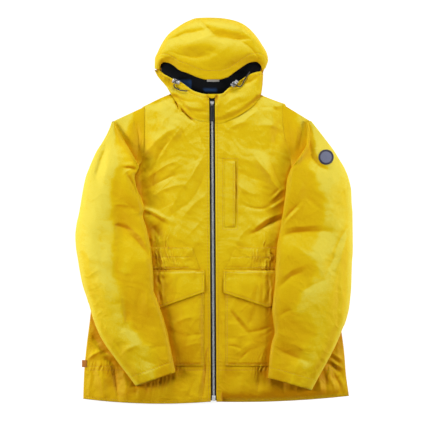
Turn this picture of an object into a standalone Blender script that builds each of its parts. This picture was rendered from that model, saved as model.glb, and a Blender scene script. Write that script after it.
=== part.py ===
"""A hooded parka laid flat on its back, zip closed, both sleeves folded over the front.

X runs across the parka, +X to the right as it is looked at, +Y runs from the hem to the hood and +Z
up from the surface it lies on. Tables and named sizes are in millimetres and the meshes in metres.
Each piece of cloth is an open net of points, between two edges that a table gives, laid on what is
already there and thickened upwards.
"""

import math
from collections import namedtuple

import bmesh
import bpy
import numpy as np
from mathutils import Vector
from mathutils.bvhtree import BVHTree

MM = 0.001

# Cloth
SHELL_CLOTH = 2.0           # a shell panel with its lining
TRIM_CLOTH = 1.2            # casing, welt, badge and hood lining
TAPE_CLOTH = 1.0            # woven zip tape
LABEL_CLOTH = 0.6
SEAM_GAP = 0.3              # between pieces that meet or lie on each other
CELL = 4.0                  # spacing of the net that holds the height of what is laid so far
FOLD_SLOPE = 0.3            # how steeply cloth runs down from what it lies on
GENTLE = 0.15               # the same for flat pieces that are sewn down
STEEP = 2.0                 # the same where a panel meets an edge

# Zip
ZIP_TOP_Y = 263.0
ZIP_BOTTOM_Y = -455.0
ZIP_TOP_X = -4.6
ZIP_BOTTOM_X = -0.7
ZIP_GAP = 13.6              # between the fronts' edges
ZIP_CALM = 40.0             # the fronts' folds fade out this far from the zip
TAPE_WIDTH = 15.0
TAPE_PARTING = 0.4          # between the two tapes
TAPE_HEM = 1.0              # lower end of the tapes above the zip's end
TAPE_OVER = 6.0             # upper end of the tapes above the coil's end
TAPE_Z = 10.5
TEETH_WIDTH = 7.4
TEETH_HEIGHT = 3.0
TEETH_ROUNDING = 0.9
BOX_LENGTH = 13.0           # the box that holds the zip's lower end
BOX_WIDTH = 8.4
BOX_HEIGHT = 4.0

# Body
FRONT_Z = 12.0              # underside of the fronts over the hollow body
FRONT_EDGE_Z = 2.3          # underside of the fronts at the side seams
FRONT_RISE = 48.0           # how far in from the side seam the front has risen
BACK_INSET = 1.5            # back panel inside the outline of the fronts
HEM_BOW_LEFT = -8.0
HEM_BOW_RIGHT = -5.5
HEM_BOW_BACK = -9.0
HEM_BOW_SHARE = 0.1         # the share of the panel's length over which the bow fades

# Sleeves
SLEEVE_CROWN = 19.0         # inside height of a sleeve at its middle
SLEEVE_OPENS = 110.0        # the sleeve's width from which it stands at its full height
SLEEVE_SQUARE = 2.4         # higher for a flatter top
SLEEVE_FLANK = 0.6          # lower for steeper sides
SLEEVE_INSET = 2.0          # under sleeve inside the edge of the upper one
ARMHOLE_FADE = 40.0         # how far along it the lapped seam settles onto the front
LAP_SHARE = 0.3             # how far across it, as a share of the sleeve's width

# Hood
HOOD_CROWN = 33.0
HOOD_SQUARE = 2.3           # higher for a flatter crown
HOOD_END_BEND = 0.6         # lower where the crown rises faster from its two ends
BRIM_SHARE = 0.62           # height of the brim as a share of the crown
BRIM_WIDTH = 0.42           # from the brim to the crown's highest line, as a share of its depth
COLLAR_RISE = 7.0
COLLAR_RUN = 50.0           # how far up from the neck seam the collar has risen

# Slider, its bail and the pull tab that turns in it
SLIDER_LENGTH = 13.0
SLIDER_WIDTH = 10.0
SLIDER_PLATE = 1.6
BAIL_RADIUS = 4.0           # to the middle of its wire
BAIL_WIRE = 0.8
HINGE_Y = 258.5
HINGE_RISE = 1.6            # pull tab's axis above the slider's plate
TAB_LENGTH = 43.0
TAB_WIDTH = 7.0
TAB_THICKNESS = 1.8
TAB_BAR = 0.8               # from the axis to the end of the tab and to its eye
TAB_EYE_LENGTH = 5.0
TAB_EYE_WIDTH = 2.7
TAB_DROP = math.radians(3.0)

# Cord locks, turned from a profile of radius and place along the axis, and cords
LOCK_PROFILE = [(0.0, 0.0), (4.6, 0.0), (5.5, 1.0), (5.5, 11.0), (4.6, 12.0), (3.4, 12.2),
                (3.4, 14.0), (4.6, 14.4), (4.6, 17.6), (4.0, 18.4), (0.0, 18.4)]
LOCKS = {
    "left": {"x": -91.0, "y": 311.5, "z": 15.3, "turn": math.radians(-20.0)},
    "right": {"x": 49.5, "y": 307.0, "z": 18.8, "turn": math.radians(41.0)},
}
CORD_RADIUS = 1.4
CORD_STEP = 5.0

Section = namedtuple("Section", "ax ay bx by")
Fold = namedtuple("Fold", "x0 y0 x1 y1 height spread")
ZIP = None                  # stands for the zip's edge in a table of sections

# Front, from the hem up: side seam, armhole and shoulder (a), zip and neck seam (b)
FRONT_LEFT = [
    Section(-314, -450, ZIP, -457),
    Section(-312, -393, ZIP, -398),
    Section(-307, -333, ZIP, -338),
    Section(-298, -261, ZIP, -266),
    Section(-290, -189, ZIP, -194),
    Section(-283, -122, ZIP, -122),
    Section(-283, -57, ZIP, -57),
    Section(-281, 3, ZIP, 8),
    Section(-274, 34, ZIP, 46),
    Section(-245, 68, ZIP, 85),
    Section(-206, 94, ZIP, 123),
    Section(-180, 123, ZIP, 152),
    Section(-174, 159, ZIP, 176),
    Section(-174, 200, ZIP, 200),
    Section(-174, 234, ZIP, 221),
    Section(-173, 248, -34, 226),
    Section(-154, 259, -56, 236),
    Section(-130, 271, -72, 253),
    Section(-104, 282, -92, 274),
]
FRONT_RIGHT = [
    Section(324, -443, ZIP, -457),
    Section(317, -393, ZIP, -398),
    Section(312, -333, ZIP, -338),
    Section(302, -261, ZIP, -266),
    Section(295, -189, ZIP, -194),
    Section(288, -122, ZIP, -122),
    Section(283, -57, ZIP, -57),
    Section(281, 3, ZIP, 8),
    Section(274, 34, ZIP, 46),
    Section(245, 68, ZIP, 85),
    Section(211, 104, ZIP, 123),
    Section(187, 142, ZIP, 150),
    Section(180, 164, ZIP, 172),
    Section(175, 190, ZIP, 192),
    Section(172, 224, ZIP, 218),
    Section(172, 255, 29, 223),
    Section(154, 263, 57, 237),
    Section(133, 271, 84, 255),
    Section(115, 278, 102, 272),
]
NECK_BACK_Y = 279.0

# Sleeve, from the shoulder down to the cuff: left edge (a), right edge (b)
SLEEVE_LEFT = [
    Section(-244, 216, -238, 212),
    Section(-254, 190, -228, 188),
    Section(-268, 164, -210, 159),
    Section(-280, 145, -192, 128),
    Section(-289, 126, -181, 106),
    Section(-298, 104, -191, 85),
    Section(-306, 82, -187, 58),
    Section(-312, 54, -175, 30),
    Section(-317, 25, -168, 6),
    Section(-322, -4, -171, -9),
    Section(-328, -30, -163, -38),
    Section(-331, -59, -157, -66),
    Section(-329, -88, -151, -98),
    Section(-324, -117, -149, -124),
    Section(-319, -146, -146, -155),
    Section(-312, -179, -145, -189),
    Section(-302, -208, -136, -213),
    Section(-295, -232, -130, -232),
    Section(-287, -261, -121, -261),
    Section(-276, -290, -113, -290),
    Section(-259, -321, -106, -323),
    Section(-235, -354, -100, -352),
    Section(-211, -386, -96, -371),
    Section(-186, -419, -94, -387),
]
SLEEVE_RIGHT = [
    Section(223, 214, 232, 217),
    Section(224, 190, 251, 193),
    Section(223, 162, 274, 163),
    Section(212, 140, 287, 145),
    Section(199, 121, 298, 127),
    Section(184, 99, 313, 102),
    Section(176, 75, 323, 75),
    Section(173, 49, 328, 49),
    Section(170, 22, 329, 20),
    Section(167, -4, 331, -6),
    Section(162, -30, 331, -35),
    Section(157, -57, 331, -64),
    Section(152, -86, 331, -93),
    Section(150, -117, 329, -122),
    Section(148, -148, 328, -150),
    Section(146, -182, 327, -182),
    Section(142, -213, 324, -213),
    Section(140, -237, 321, -235),
    Section(143, -266, 314, -261),
    Section(146, -290, 304, -287),
    Section(139, -316, 292, -318),
    Section(134, -347, 276, -350),
    Section(132, -376, 254, -390),
    Section(130, -400, 233, -429),
]
# Where the under sleeve's edge laps the front's armhole, for the first sections of the sleeve
ARMHOLE_LEFT = [(-170, 248), (-170, 224), (-170, 192), (-171, 158), (-176, 124)]
ARMHOLE_RIGHT = [(168, 254), (168, 222), (171, 190), (177, 163), (184, 140)]

# Hood on the floor, from the neck up: left edge (a), right edge (b)
HOOD_BACK = [
    Section(-102, 280, 113, 280),
    Section(-109, 298, 115, 298),
    Section(-126, 316, 115, 317),
    Section(-136, 332, 119, 337),
    Section(-140, 353, 128, 356),
    Section(-137, 373, 127, 375),
    Section(-130, 387, 123, 387),
    Section(-124, 401, 114, 400),
    Section(-117, 416, 103, 416),
    Section(-102, 429, 90, 430),
    Section(-82, 444, 76, 445),
    Section(-66, 453, 57, 454),
    Section(-45, 461, 19, 461),
]
# Crown of the hood, from its left end to its right: brim (a), outer edge (b)
HOOD_TOP = [
    Section(-131, 341, -141, 342),
    Section(-128, 351, -141, 363),
    Section(-120, 358, -133, 384),
    Section(-108, 356, -122, 406),
    Section(-96, 349, -109, 424),
    Section(-82, 338, -89, 440),
    Section(-62, 331, -66, 454),
    Section(-41, 322, -41, 463),
    Section(-17, 316, -14, 464),
    Section(10, 316, 14, 463),
    Section(31, 321, 41, 459),
    Section(50, 334, 65, 451),
    Section(70, 348, 85, 437),
    Section(86, 357, 102, 418),
    Section(100, 359, 115, 398),
    Section(110, 353, 126, 378),
    Section(115, 344, 129, 362),
    Section(116, 338, 122, 342),
]
# Lining seen through the face opening, from left to right: lower edge (a), upper edge (b)
HOOD_LINING = [
    Section(-126, 334, -128, 352),
    Section(-110, 312, -112, 380),
    Section(-84, 290, -80, 398),
    Section(-40, 262, -40, 404),
    Section(0, 250, 0, 405),
    Section(40, 258, 40, 402),
    Section(78, 290, 78, 394),
    Section(102, 318, 102, 378),
    Section(112, 336, 115, 358),
]
# Front of the hood below the face opening: neck seam or outer edge (a), free edge (b)
COLLAR_LEFT = [
    Section(-140, 339, -131, 339.5),
    Section(-133, 326, -122, 331),
    Section(-125, 316, -110, 324),
    Section(-112, 301, -96, 317),
    Section(-102, 284, -79, 310),
    Section(-91, 268, -65, 300),
    Section(-74, 249, -50, 290),
    Section(-58, 231, -36, 285),
    Section(-35, 220, -24, 282),
    Section(ZIP, 217, ZIP, 281),
]
COLLAR_RIGHT = [
    Section(ZIP, 214, ZIP, 281),
    Section(19, 215, 19, 283),
    Section(38, 222, 34, 295),
    Section(58, 231, 48, 304),
    Section(77, 243, 62, 314),
    Section(91, 254, 79, 325),
    Section(104, 268, 94, 332),
    Section(112, 280, 105, 335),
    Section(116, 306, 112, 336),
    Section(117, 331, 115, 335.5),
]

# Pieces on the fronts
POCKETS = {
    "left": {"left": -227, "right": -25, "top": -150, "bottom": -372},
    "right": {"left": 28, "right": 230, "top": -150, "bottom": -372},
}
FLAPS = {
    "left": {"inner": -23, "outer": -235, "top": -141, "side": -194, "point": -232},
    "right": {"inner": 23, "outer": 235, "top": -142, "side": -196, "point": -231},
}
CASINGS = {
    "left": {"inner_top": -53, "inner_bottom": -34, "outer": -262, "gather": -132},
    "right": {"inner_top": 53, "inner_bottom": 26, "outer": 262, "gather": 134},
}
CASING_TOP_Y = -86.0
CASING_BOTTOM_Y = -138.0
GATHER_SPAN = 46.0
GATHER_PITCH = 9.2
GATHER_ROWS = 4             # rows of points for each gather
GATHER_DEPTH = 1.4
WELT = {"left": 26, "right": 50, "top": 121, "bottom": -38}
SIDE_LABEL = {"left": -317, "right": -306, "top": -357, "bottom": -374}
SIDE_LABEL_LIFT = 1.25      # its underside over the front's edge, enough for the front's rise under it
NECK_LABEL = {"left": -17, "right": 13, "top": 327, "bottom": 311}
# Each cord's route, from the side of its lock to where it goes into the hood
CORDS = {
    "left": [
        (-95.2, 305.9, 15.3),
        (-96.1, 303.2, 13.8),
        (-95.6, 300.0, 12.0),
        (-92.3, 296.2, 12.0),
        (-82.0, 291.0, 14.5),
        (-72.0, 289.0, 16.2),
        (-64.0, 288.5, 16.8),
    ],
    "right": [
        (54.7, 302.5, 18.7),
        (57.0, 299.9, 17.0),
        (61.0, 298.9, 15.4),
        (65.3, 301.2, 15.0),
        (68.8, 306.5, 14.9),
        (71.7, 313.0, 14.8),
        (75.7, 319.8, 14.8),
        (81.0, 327.5, 14.4),
        (85.5, 334.5, 9.5),
    ],
}
CHIN_GUARD_RADIUS = 10.5
CHIN_GUARD_START = math.radians(10.0)   # where its arc leaves the straight top edge
CHIN_GUARD_TOP_Y = 281.5
BADGE_CENTRE = (269.0, 130.0)
BADGE_RADIUS = 18.5
BADGE_LIFT = 0.9            # its underside over the sleeve, enough to clear the sleeve's facets
BADGE_ABOVE = 90.0          # a height above everything, from which its points are let down

# Largest folds: two ends, height (below 0 for a trough) and half width
FRONT_FOLDS = [
    Fold(-150, 118, -150, 20, -6.0, 17),
    Fold(-166, 147, -94, 200, 5.0, 16),
    Fold(-152, 2, -116, -16, -4.5, 15),
    Fold(-100, 150, -60, 30, 2.5, 24),
    Fold(-60, -240, -40, -330, 3.5, 18),
    Fold(98, -47, 163, -16, -6.0, 16),
    Fold(118, 123, 170, 34, 5.5, 16),
    Fold(134, 20, 166, -21, -4.5, 15),
    Fold(80, 60, 120, -40, 2.5, 22),
    Fold(41, -244, 79, -290, -4.0, 16),
    Fold(-240, -400, -247, -450, -5.0, 15),
    Fold(278, -380, 296, -440, -5.0, 15),
]
LEFT_SLEEVE_FOLDS = [
    Fold(-266, 147, -283, 87, -5.0, 13),
    Fold(-244, 96, -212, 40, 5.0, 18),
    Fold(-242, -40, -202, -50, -6.0, 14),
    Fold(-202, -50, -154, -107, -6.0, 14),
    Fold(-262, -57, -245, -153, -4.5, 14),
    Fold(-245, -153, -221, -237, -4.5, 14),
    Fold(-221, -237, -211, -297, -4.5, 14),
    Fold(-206, -338, -168, -322, 4.0, 13),
]
RIGHT_SLEEVE_FOLDS = [
    Fold(228, 157, 233, 130, -7.0, 12),
    Fold(233, 130, 262, 100, -7.0, 12),
    Fold(170, -57, 254, -47, -6.5, 16),
    Fold(254, -47, 290, -56, -5.5, 16),
    Fold(166, -26, 199, 13, -5.0, 14),
    Fold(163, -177, 206, -148, -5.0, 15),
    Fold(290, -60, 276, -135, -4.0, 15),
    Fold(170, -345, 225, -360, -4.0, 18),
]
HOOD_FOLDS = [
    Fold(-36, 457, 7, 420, -6.5, 11),
    Fold(7, 420, 79, 413, -6.5, 11),
    Fold(-10, 452, 74, 428, 4.0, 12),
    Fold(65, 406, 98, 377, -5.0, 12),
    Fold(-115, 410, -34, 428, -5.0, 13),
    Fold(-90, 388, -25, 372, -5.0, 14),
    Fold(-62, 400, 10, 410, 3.5, 14),
]

COLOURS = {
    "shell": (0.73, 0.54, 0.024),
    "lining": (0.004, 0.006, 0.012),
    "zip_tape": (0.008, 0.008, 0.009),
    "zip_metal": (0.32, 0.33, 0.34),
    "pull": (0.05, 0.05, 0.055),
    "badge": (0.07, 0.07, 0.10),
    "label_grey": (0.45, 0.44, 0.42),
    "label_tan": (0.43, 0.13, 0.012),
    "cord": (0.012, 0.010, 0.012),
    "lock": (0.62, 0.62, 0.62),
}


def clear_scene():
    for obj in list(bpy.data.objects):
        bpy.data.objects.remove(obj, do_unlink=True)


def new_collection(name):
    collection = bpy.data.collections.new(name)
    bpy.context.scene.collection.children.link(collection)
    return collection


def make_material(name, roughness, metallic=0.0):
    material = bpy.data.materials.new(name)
    material.use_nodes = True
    shader = material.node_tree.nodes["Principled BSDF"]
    shader.inputs["Base Color"].default_value = (*COLOURS[name], 1.0)
    shader.inputs["Roughness"].default_value = roughness
    shader.inputs["Metallic"].default_value = metallic
    return material


def smooth_step(share):
    share = np.clip(share, 0.0, 1.0)
    return share * share * (3 - 2 * share)


def smooth_through(keys, values, at):
    """A cubic curve through the values that never runs past them."""
    keys = np.asarray(keys, float)
    values = np.asarray(values, float)
    slopes = np.diff(values) / np.diff(keys)
    tangents = np.zeros_like(values)
    product = slopes[1:] * slopes[:-1]
    level = product > 0
    tangents[1:-1][level] = 2 * product[level] / (slopes[1:] + slopes[:-1])[level]
    tangents[0] = slopes[0]
    tangents[-1] = slopes[-1]
    index = np.clip(np.searchsorted(keys, at, side="right") - 1, 0, len(slopes) - 1)
    run = np.diff(keys)[index]
    t = (at - keys[index]) / run
    start = (1 + 2 * t) * (1 - t) ** 2 * values[index] + t * (1 - t) ** 2 * run * tangents[index]
    end = t * t * (3 - 2 * t) * values[index + 1] - t * t * (1 - t) * run * tangents[index + 1]
    return start + end


def zip_x(y):
    """Where the middle of the zip lies across the parka."""
    share = (ZIP_TOP_Y - y) / (ZIP_TOP_Y - ZIP_BOTTOM_Y)
    return ZIP_TOP_X + share * (ZIP_BOTTOM_X - ZIP_TOP_X)


def on_zip(sections, side):
    """The sections with the edge of the zip put in where the table says ZIP."""
    def edge(y):
        return zip_x(y) + side * ZIP_GAP / 2

    return [
        Section(
            edge(row.ay) if row.ax is ZIP else row.ax,
            row.ay,
            edge(row.by) if row.bx is ZIP else row.bx,
            row.by,
        )
        for row in sections
    ]


class Net:
    """Rows of points between two edges: v runs along the table's sections, u from edge a to edge b.

    Every section is a row, with more between two that lie over one and a half pitches apart.
    """

    def __init__(self, sections, pitch, columns, straight=False, crowd_edges=False):
        table = np.array(sections, float)
        steps = np.hypot(*np.diff(table.reshape(-1, 2, 2).mean(axis=1), axis=0).T)
        keys = np.concatenate([[0.0], np.cumsum(steps)]) / steps.sum()
        share = [0.0]
        for key, step in zip(keys[1:], steps):
            parts = max(1, round(step / pitch))
            share.extend(np.linspace(share[-1], key, parts + 1)[1:])
        share = np.array(share)
        if straight:
            ax, ay, bx, by = (np.interp(share, keys, column) for column in table.T)
        else:
            ax, ay, bx, by = (smooth_through(keys, column, share) for column in table.T)
        u = np.linspace(0.0, 1.0, columns + 1)
        if crowd_edges:
            u = (1 - np.cos(math.pi * u)) / 2
        self.v, self.u = np.meshgrid(share, u, indexing="ij")
        self.x = ax[:, None] + (bx - ax)[:, None] * u
        self.y = ay[:, None] + (by - ay)[:, None] * u
        self.width = np.hypot(bx - ax, by - ay)[:, None] * np.ones_like(self.u)


class Stack:
    """The height of everything laid so far, over a square net of cells."""

    def __init__(self):
        self.xs = np.arange(-352.0, 353.0, CELL)
        self.ys = np.arange(-480.0, 481.0, CELL)
        self.top = np.zeros((len(self.ys), len(self.xs)))

    def add(self, obj):
        bpy.context.view_layer.update()
        graph = bpy.context.evaluated_depsgraph_get()
        tree = BVHTree.FromObject(obj, graph)
        corners = np.array([obj.evaluated_get(graph).bound_box[i][:] for i in range(8)]) / MM
        low = corners.min(axis=0)
        high = corners.max(axis=0)
        for row in np.flatnonzero((self.ys > low[1] - CELL) & (self.ys < high[1] + CELL)):
            for column in np.flatnonzero((self.xs > low[0] - CELL) & (self.xs < high[0] + CELL)):
                start = Vector((self.xs[column], self.ys[row], high[2] + 1.0)) * MM
                hit = tree.ray_cast(start, Vector((0, 0, -1)))[0]
                if hit is not None:
                    self.top[row, column] = max(self.top[row, column], hit.z / MM)

    def level(self, reach, slope=FOLD_SLOPE):
        """The lowest sheet that clears everything within reach and falls no steeper than the slope."""
        sheet = self.top
        for _ in range(max(1, round(reach / CELL))):
            sheet = highest_near(sheet, 0.0)
        for _ in range(round(self.top.max() / (slope * CELL)) + 1):
            sheet = highest_near(sheet, slope * CELL)
        return sheet

    def rest(self, x, y, reach, slope=FOLD_SLOPE):
        """How high the underside of cloth laid over these points lies: flat on the bare floor."""
        sheet = self.level(reach, slope)
        column = np.clip((x - self.xs[0]) / CELL, 0, len(self.xs) - 1.001)
        row = np.clip((y - self.ys[0]) / CELL, 0, len(self.ys) - 1.001)
        i, j = row.astype(int), column.astype(int)
        s, t = row - i, column - j
        lower = sheet[i, j] * (1 - t) + sheet[i, j + 1] * t
        upper = sheet[i + 1, j] * (1 - t) + sheet[i + 1, j + 1] * t
        height = lower * (1 - s) + upper * s
        return height + SEAM_GAP * np.clip(height, 0.0, 1.0)


def highest_near(sheet, drop):
    """Each cell raised to its highest neighbour, less the drop to it."""
    padded = np.pad(sheet, 1, mode="edge")
    rows, columns = sheet.shape
    highest = sheet
    for down in (-1, 0, 1):
        for across in (-1, 0, 1):
            near = padded[1 + down:1 + down + rows, 1 + across:1 + across + columns]
            highest = np.maximum(highest, near - drop * math.hypot(down, across))
    return highest


def relief(x, y, folds):
    """Soft ridges and troughs, each fading out with the distance from its own line."""
    height = np.zeros_like(x)
    for fold in folds:
        along_x = fold.x1 - fold.x0
        along_y = fold.y1 - fold.y0
        share = ((x - fold.x0) * along_x + (y - fold.y0) * along_y) / (along_x ** 2 + along_y ** 2)
        share = np.clip(share, 0.0, 1.0)
        distance = np.hypot(x - fold.x0 - share * along_x, y - fold.y0 - share * along_y)
        height += fold.height * np.exp(-((distance / fold.spread) ** 2))
    return height


class Parka:
    """Makes the pieces in the order they are laid, and keeps what the next one lies on."""

    def __init__(self):
        self.collection = new_collection("hooded_parka")
        self.helpers = new_collection("helpers")
        self.helpers.hide_render = True
        self.stack = Stack()
        self.shell = make_material("shell", 0.62)
        self.lining = make_material("lining", 0.7)
        self.tape = make_material("zip_tape", 0.8)
        self.metal = make_material("zip_metal", 0.35, 0.8)
        self.pull = make_material("pull", 0.45)
        self.badge = make_material("badge", 0.5)
        self.label_grey = make_material("label_grey", 0.6)
        self.label_tan = make_material("label_tan", 0.55)
        self.cord = make_material("cord", 0.7)
        self.lock = make_material("lock", 0.2)

    def link(self, name, data, material):
        obj = bpy.data.objects.new(name, data)
        obj.data.materials.append(material)
        self.collection.objects.link(obj)
        return obj

    def cloth(self, name, net, underside, thickness, material):
        """A sheet on the net's points with this underside, thickened upwards."""
        rows, columns = net.x.shape
        mesh = bpy.data.meshes.new(name)
        work = bmesh.new()
        points = np.stack([net.x, net.y, underside], axis=-1) * MM
        verts = [[work.verts.new(points[i, j]) for j in range(columns)] for i in range(rows)]
        for i in range(rows - 1):
            for j in range(columns - 1):
                work.faces.new(
                    (verts[i][j], verts[i][j + 1], verts[i + 1][j + 1], verts[i + 1][j])
                )
        work.normal_update()
        if sum(face.normal.z for face in work.faces) < 0:
            bmesh.ops.reverse_faces(work, faces=work.faces)
        work.to_mesh(mesh)
        work.free()
        mesh.shade_smooth()
        obj = self.link(name, mesh, material)
        thicken = obj.modifiers.new("cloth", "SOLIDIFY")
        thicken.thickness = thickness * MM
        thicken.offset = 1.0
        self.stack.add(obj)
        return obj

    def rest(self, net, reach, slope=FOLD_SLOPE):
        return self.stack.rest(net.x, net.y, reach, slope)


def upright(left, right, bottom, top):
    """The two sections of a rectangle, from its lower edge to its upper one."""
    return [Section(left, bottom, right, bottom), Section(left, top, right, top)]


def bowed_hem(net, bow):
    """Lets the hem sag between its ends, less and less over the first part of the panel."""
    fade = np.clip(1 - net.v / HEM_BOW_SHARE, 0.0, 1.0)
    net.y += bow * 4 * net.u * (1 - net.u) * fade


def make_back(parka):
    """One panel under both fronts, a little inside their outline."""
    sections = [
        Section(left.ax + BACK_INSET, left.ay - BACK_INSET, right.ax - BACK_INSET, right.ay - BACK_INSET)
        for left, right in zip(FRONT_LEFT[1:-1], FRONT_RIGHT[1:-1])
    ]
    left, right = FRONT_LEFT[0], FRONT_RIGHT[0]
    hem = Section(left.ax + BACK_INSET, left.ay + BACK_INSET, right.ax - BACK_INSET, right.ay + BACK_INSET)
    neck = Section(FRONT_LEFT[-1].ax, NECK_BACK_Y, FRONT_RIGHT[-1].ax, NECK_BACK_Y)
    net = Net([hem, *sections, neck], pitch=60, columns=9)
    bowed_hem(net, HEM_BOW_BACK)
    parka.cloth("back_panel", net, np.zeros_like(net.x), SHELL_CLOTH, parka.shell)


def make_zip_tapes(parka):
    for name, side in (("zip_tape_left", -1), ("zip_tape_right", 1)):
        inner = side * TAPE_PARTING / 2
        outer = side * TAPE_WIDTH
        ends = [ZIP_BOTTOM_Y + TAPE_HEM, ZIP_TOP_Y + TAPE_OVER]
        sections = [Section(zip_x(y) + inner, y, zip_x(y) + outer, y) for y in ends]
        net = Net(sections, pitch=120, columns=1, straight=True)
        parka.cloth(name, net, np.full_like(net.x, TAPE_Z), TAPE_CLOTH, parka.tape)


def make_fronts(parka):
    for name, table, side, bow in (
        ("front_left", FRONT_LEFT, -1, HEM_BOW_LEFT),
        ("front_right", FRONT_RIGHT, 1, HEM_BOW_RIGHT),
    ):
        net = Net(on_zip(table, side), pitch=30, columns=13)
        bowed_hem(net, bow)
        rise = smooth_step(net.u * net.width / FRONT_RISE)
        form = FRONT_EDGE_Z + (FRONT_Z - FRONT_EDGE_Z) * rise
        near_zip = smooth_step((1 - net.u) * net.width / ZIP_CALM)
        form += relief(net.x, net.y, FRONT_FOLDS) * rise * near_zip
        underside = np.maximum(form, parka.rest(net, reach=8, slope=STEEP))
        parka.cloth(name, net, underside, SHELL_CLOTH, parka.shell)


def make_casings(parka):
    """The waist casing of each front, ruched over a short span where its elastic pulls."""
    gathers = round(GATHER_SPAN / GATHER_PITCH)
    for side, size in CASINGS.items():
        sections = [Section(size["inner_top"], CASING_TOP_Y, size["inner_bottom"], CASING_BOTTOM_Y)]
        outwards = math.copysign(1, size["outer"])
        for step in range(gathers * GATHER_ROWS + 1):
            x = size["gather"] + outwards * (step * GATHER_PITCH / GATHER_ROWS - GATHER_SPAN / 2)
            sections.append(Section(x, CASING_TOP_Y, x, CASING_BOTTOM_Y))
        sections.append(Section(size["outer"], CASING_TOP_Y, size["outer"], CASING_BOTTOM_Y))
        net = Net(sections, pitch=34, columns=3, straight=True)
        offset = net.x - size["gather"]
        gathered = smooth_step((GATHER_SPAN / 2 - np.abs(offset)) / GATHER_PITCH)
        wave = gathered * GATHER_DEPTH * (1 + np.cos(2 * math.pi * offset / GATHER_PITCH)) / 2
        underside = parka.rest(net, reach=20, slope=GENTLE) + wave
        parka.cloth(f"waist_casing_{side}", net, underside, TRIM_CLOTH, parka.shell)


def make_welt(parka):
    net = Net(upright(**WELT), pitch=24, columns=2, straight=True)
    underside = parka.rest(net, reach=16, slope=GENTLE)
    parka.cloth("chest_pocket_welt", net, underside, TRIM_CLOTH, parka.shell)


def make_pockets(parka):
    for side, size in POCKETS.items():
        net = Net(upright(**size), pitch=25, columns=9, straight=True)
        underside = parka.rest(net, reach=20, slope=GENTLE)
        parka.cloth(f"pocket_{side}", net, underside, SHELL_CLOTH, parka.shell)


def make_flaps(parka):
    for side, size in FLAPS.items():
        middle = (size["inner"] + size["outer"]) / 2
        sections = [
            Section(size["inner"], size["top"], size["inner"], size["side"]),
            Section(middle, size["top"], middle, size["point"]),
            Section(size["outer"], size["top"], size["outer"], size["side"]),
        ]
        net = Net(sections, pitch=21, columns=4, straight=True)
        underside = parka.rest(net, reach=16, slope=GENTLE)
        parka.cloth(f"flap_{side}", net, underside, SHELL_CLOTH, parka.shell)


def make_sleeves(parka):
    for side, table, armhole, folds in (
        ("left", SLEEVE_LEFT, ARMHOLE_LEFT, LEFT_SLEEVE_FOLDS),
        ("right", SLEEVE_RIGHT, ARMHOLE_RIGHT, RIGHT_SLEEVE_FOLDS),
    ):
        make_under_sleeve(parka, side, table, armhole)
        make_upper_sleeve(parka, side, table, folds)


def make_under_sleeve(parka, side, table, armhole):
    """The part of the sleeve that lies on the front, out to the armhole where the sleeve folds over."""
    sections = []
    for index, row in enumerate(table):
        ax, ay, bx, by = row.ax + SLEEVE_INSET, row.ay, row.bx - SLEEVE_INSET, row.by
        if index < len(armhole) and side == "left":
            bx, by = armhole[index]
        elif index < len(armhole):
            ax, ay = armhole[index]
        sections.append(Section(ax, ay, bx, by))
    net = Net(sections, pitch=32, columns=9)
    from_seam = 1 - net.u if side == "left" else net.u
    lapped = smooth_step((net.y - armhole[-1][1]) / ARMHOLE_FADE) * smooth_step(1 - from_seam / LAP_SHARE)
    underside = (1 - lapped) * parka.rest(net, reach=28) + lapped * parka.rest(net, reach=8)
    parka.cloth(f"under_sleeve_{side}", net, underside, SHELL_CLOTH, parka.shell)


def make_upper_sleeve(parka, side, table, folds):
    """The rounded upper side of the folded sleeve, open at the cuff."""
    net = Net(table, pitch=28, columns=11, crowd_edges=True)
    round_over = (1 - np.abs(2 * net.u - 1) ** SLEEVE_SQUARE) ** SLEEVE_FLANK
    opens = smooth_step(net.width / SLEEVE_OPENS)
    rest = parka.rest(net, reach=12)
    form = rest + SLEEVE_CROWN * round_over * opens
    form += relief(net.x, net.y, folds) * round_over * opens
    parka.cloth(f"upper_sleeve_{side}", net, np.maximum(form, rest), SHELL_CLOTH, parka.shell)


def make_hood_back(parka):
    net = Net(HOOD_BACK, pitch=22, columns=8)
    parka.cloth("hood_back", net, np.zeros_like(net.x), SHELL_CLOTH, parka.shell)


def make_hood_lining(parka):
    net = Net(HOOD_LINING, pitch=24, columns=5)
    underside = np.full_like(net.x, SHELL_CLOTH + SEAM_GAP)
    parka.cloth("hood_lining", net, underside, TRIM_CLOTH, parka.lining)


def make_neck_label(parka):
    net = Net(upright(**NECK_LABEL), pitch=20, columns=2, straight=True)
    underside = parka.rest(net, reach=8)
    parka.cloth("neck_label", net, underside, LABEL_CLOTH, parka.label_grey)


def make_collars(parka):
    """The hood's front below the face opening, in two halves that meet at the zip."""
    halves = [
        ("collar_left", Net(on_zip(COLLAR_LEFT, -1), pitch=18, columns=6)),
        ("collar_right", Net(on_zip(COLLAR_RIGHT, 1), pitch=18, columns=6)),
    ]
    rests = [parka.rest(net, reach=12) for _, net in halves]
    for (name, net), rest in zip(halves, rests):
        rise = COLLAR_RISE * smooth_step(net.u * net.width / COLLAR_RUN)
        parka.cloth(name, net, rest + rise, SHELL_CLOTH, parka.shell)


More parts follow.
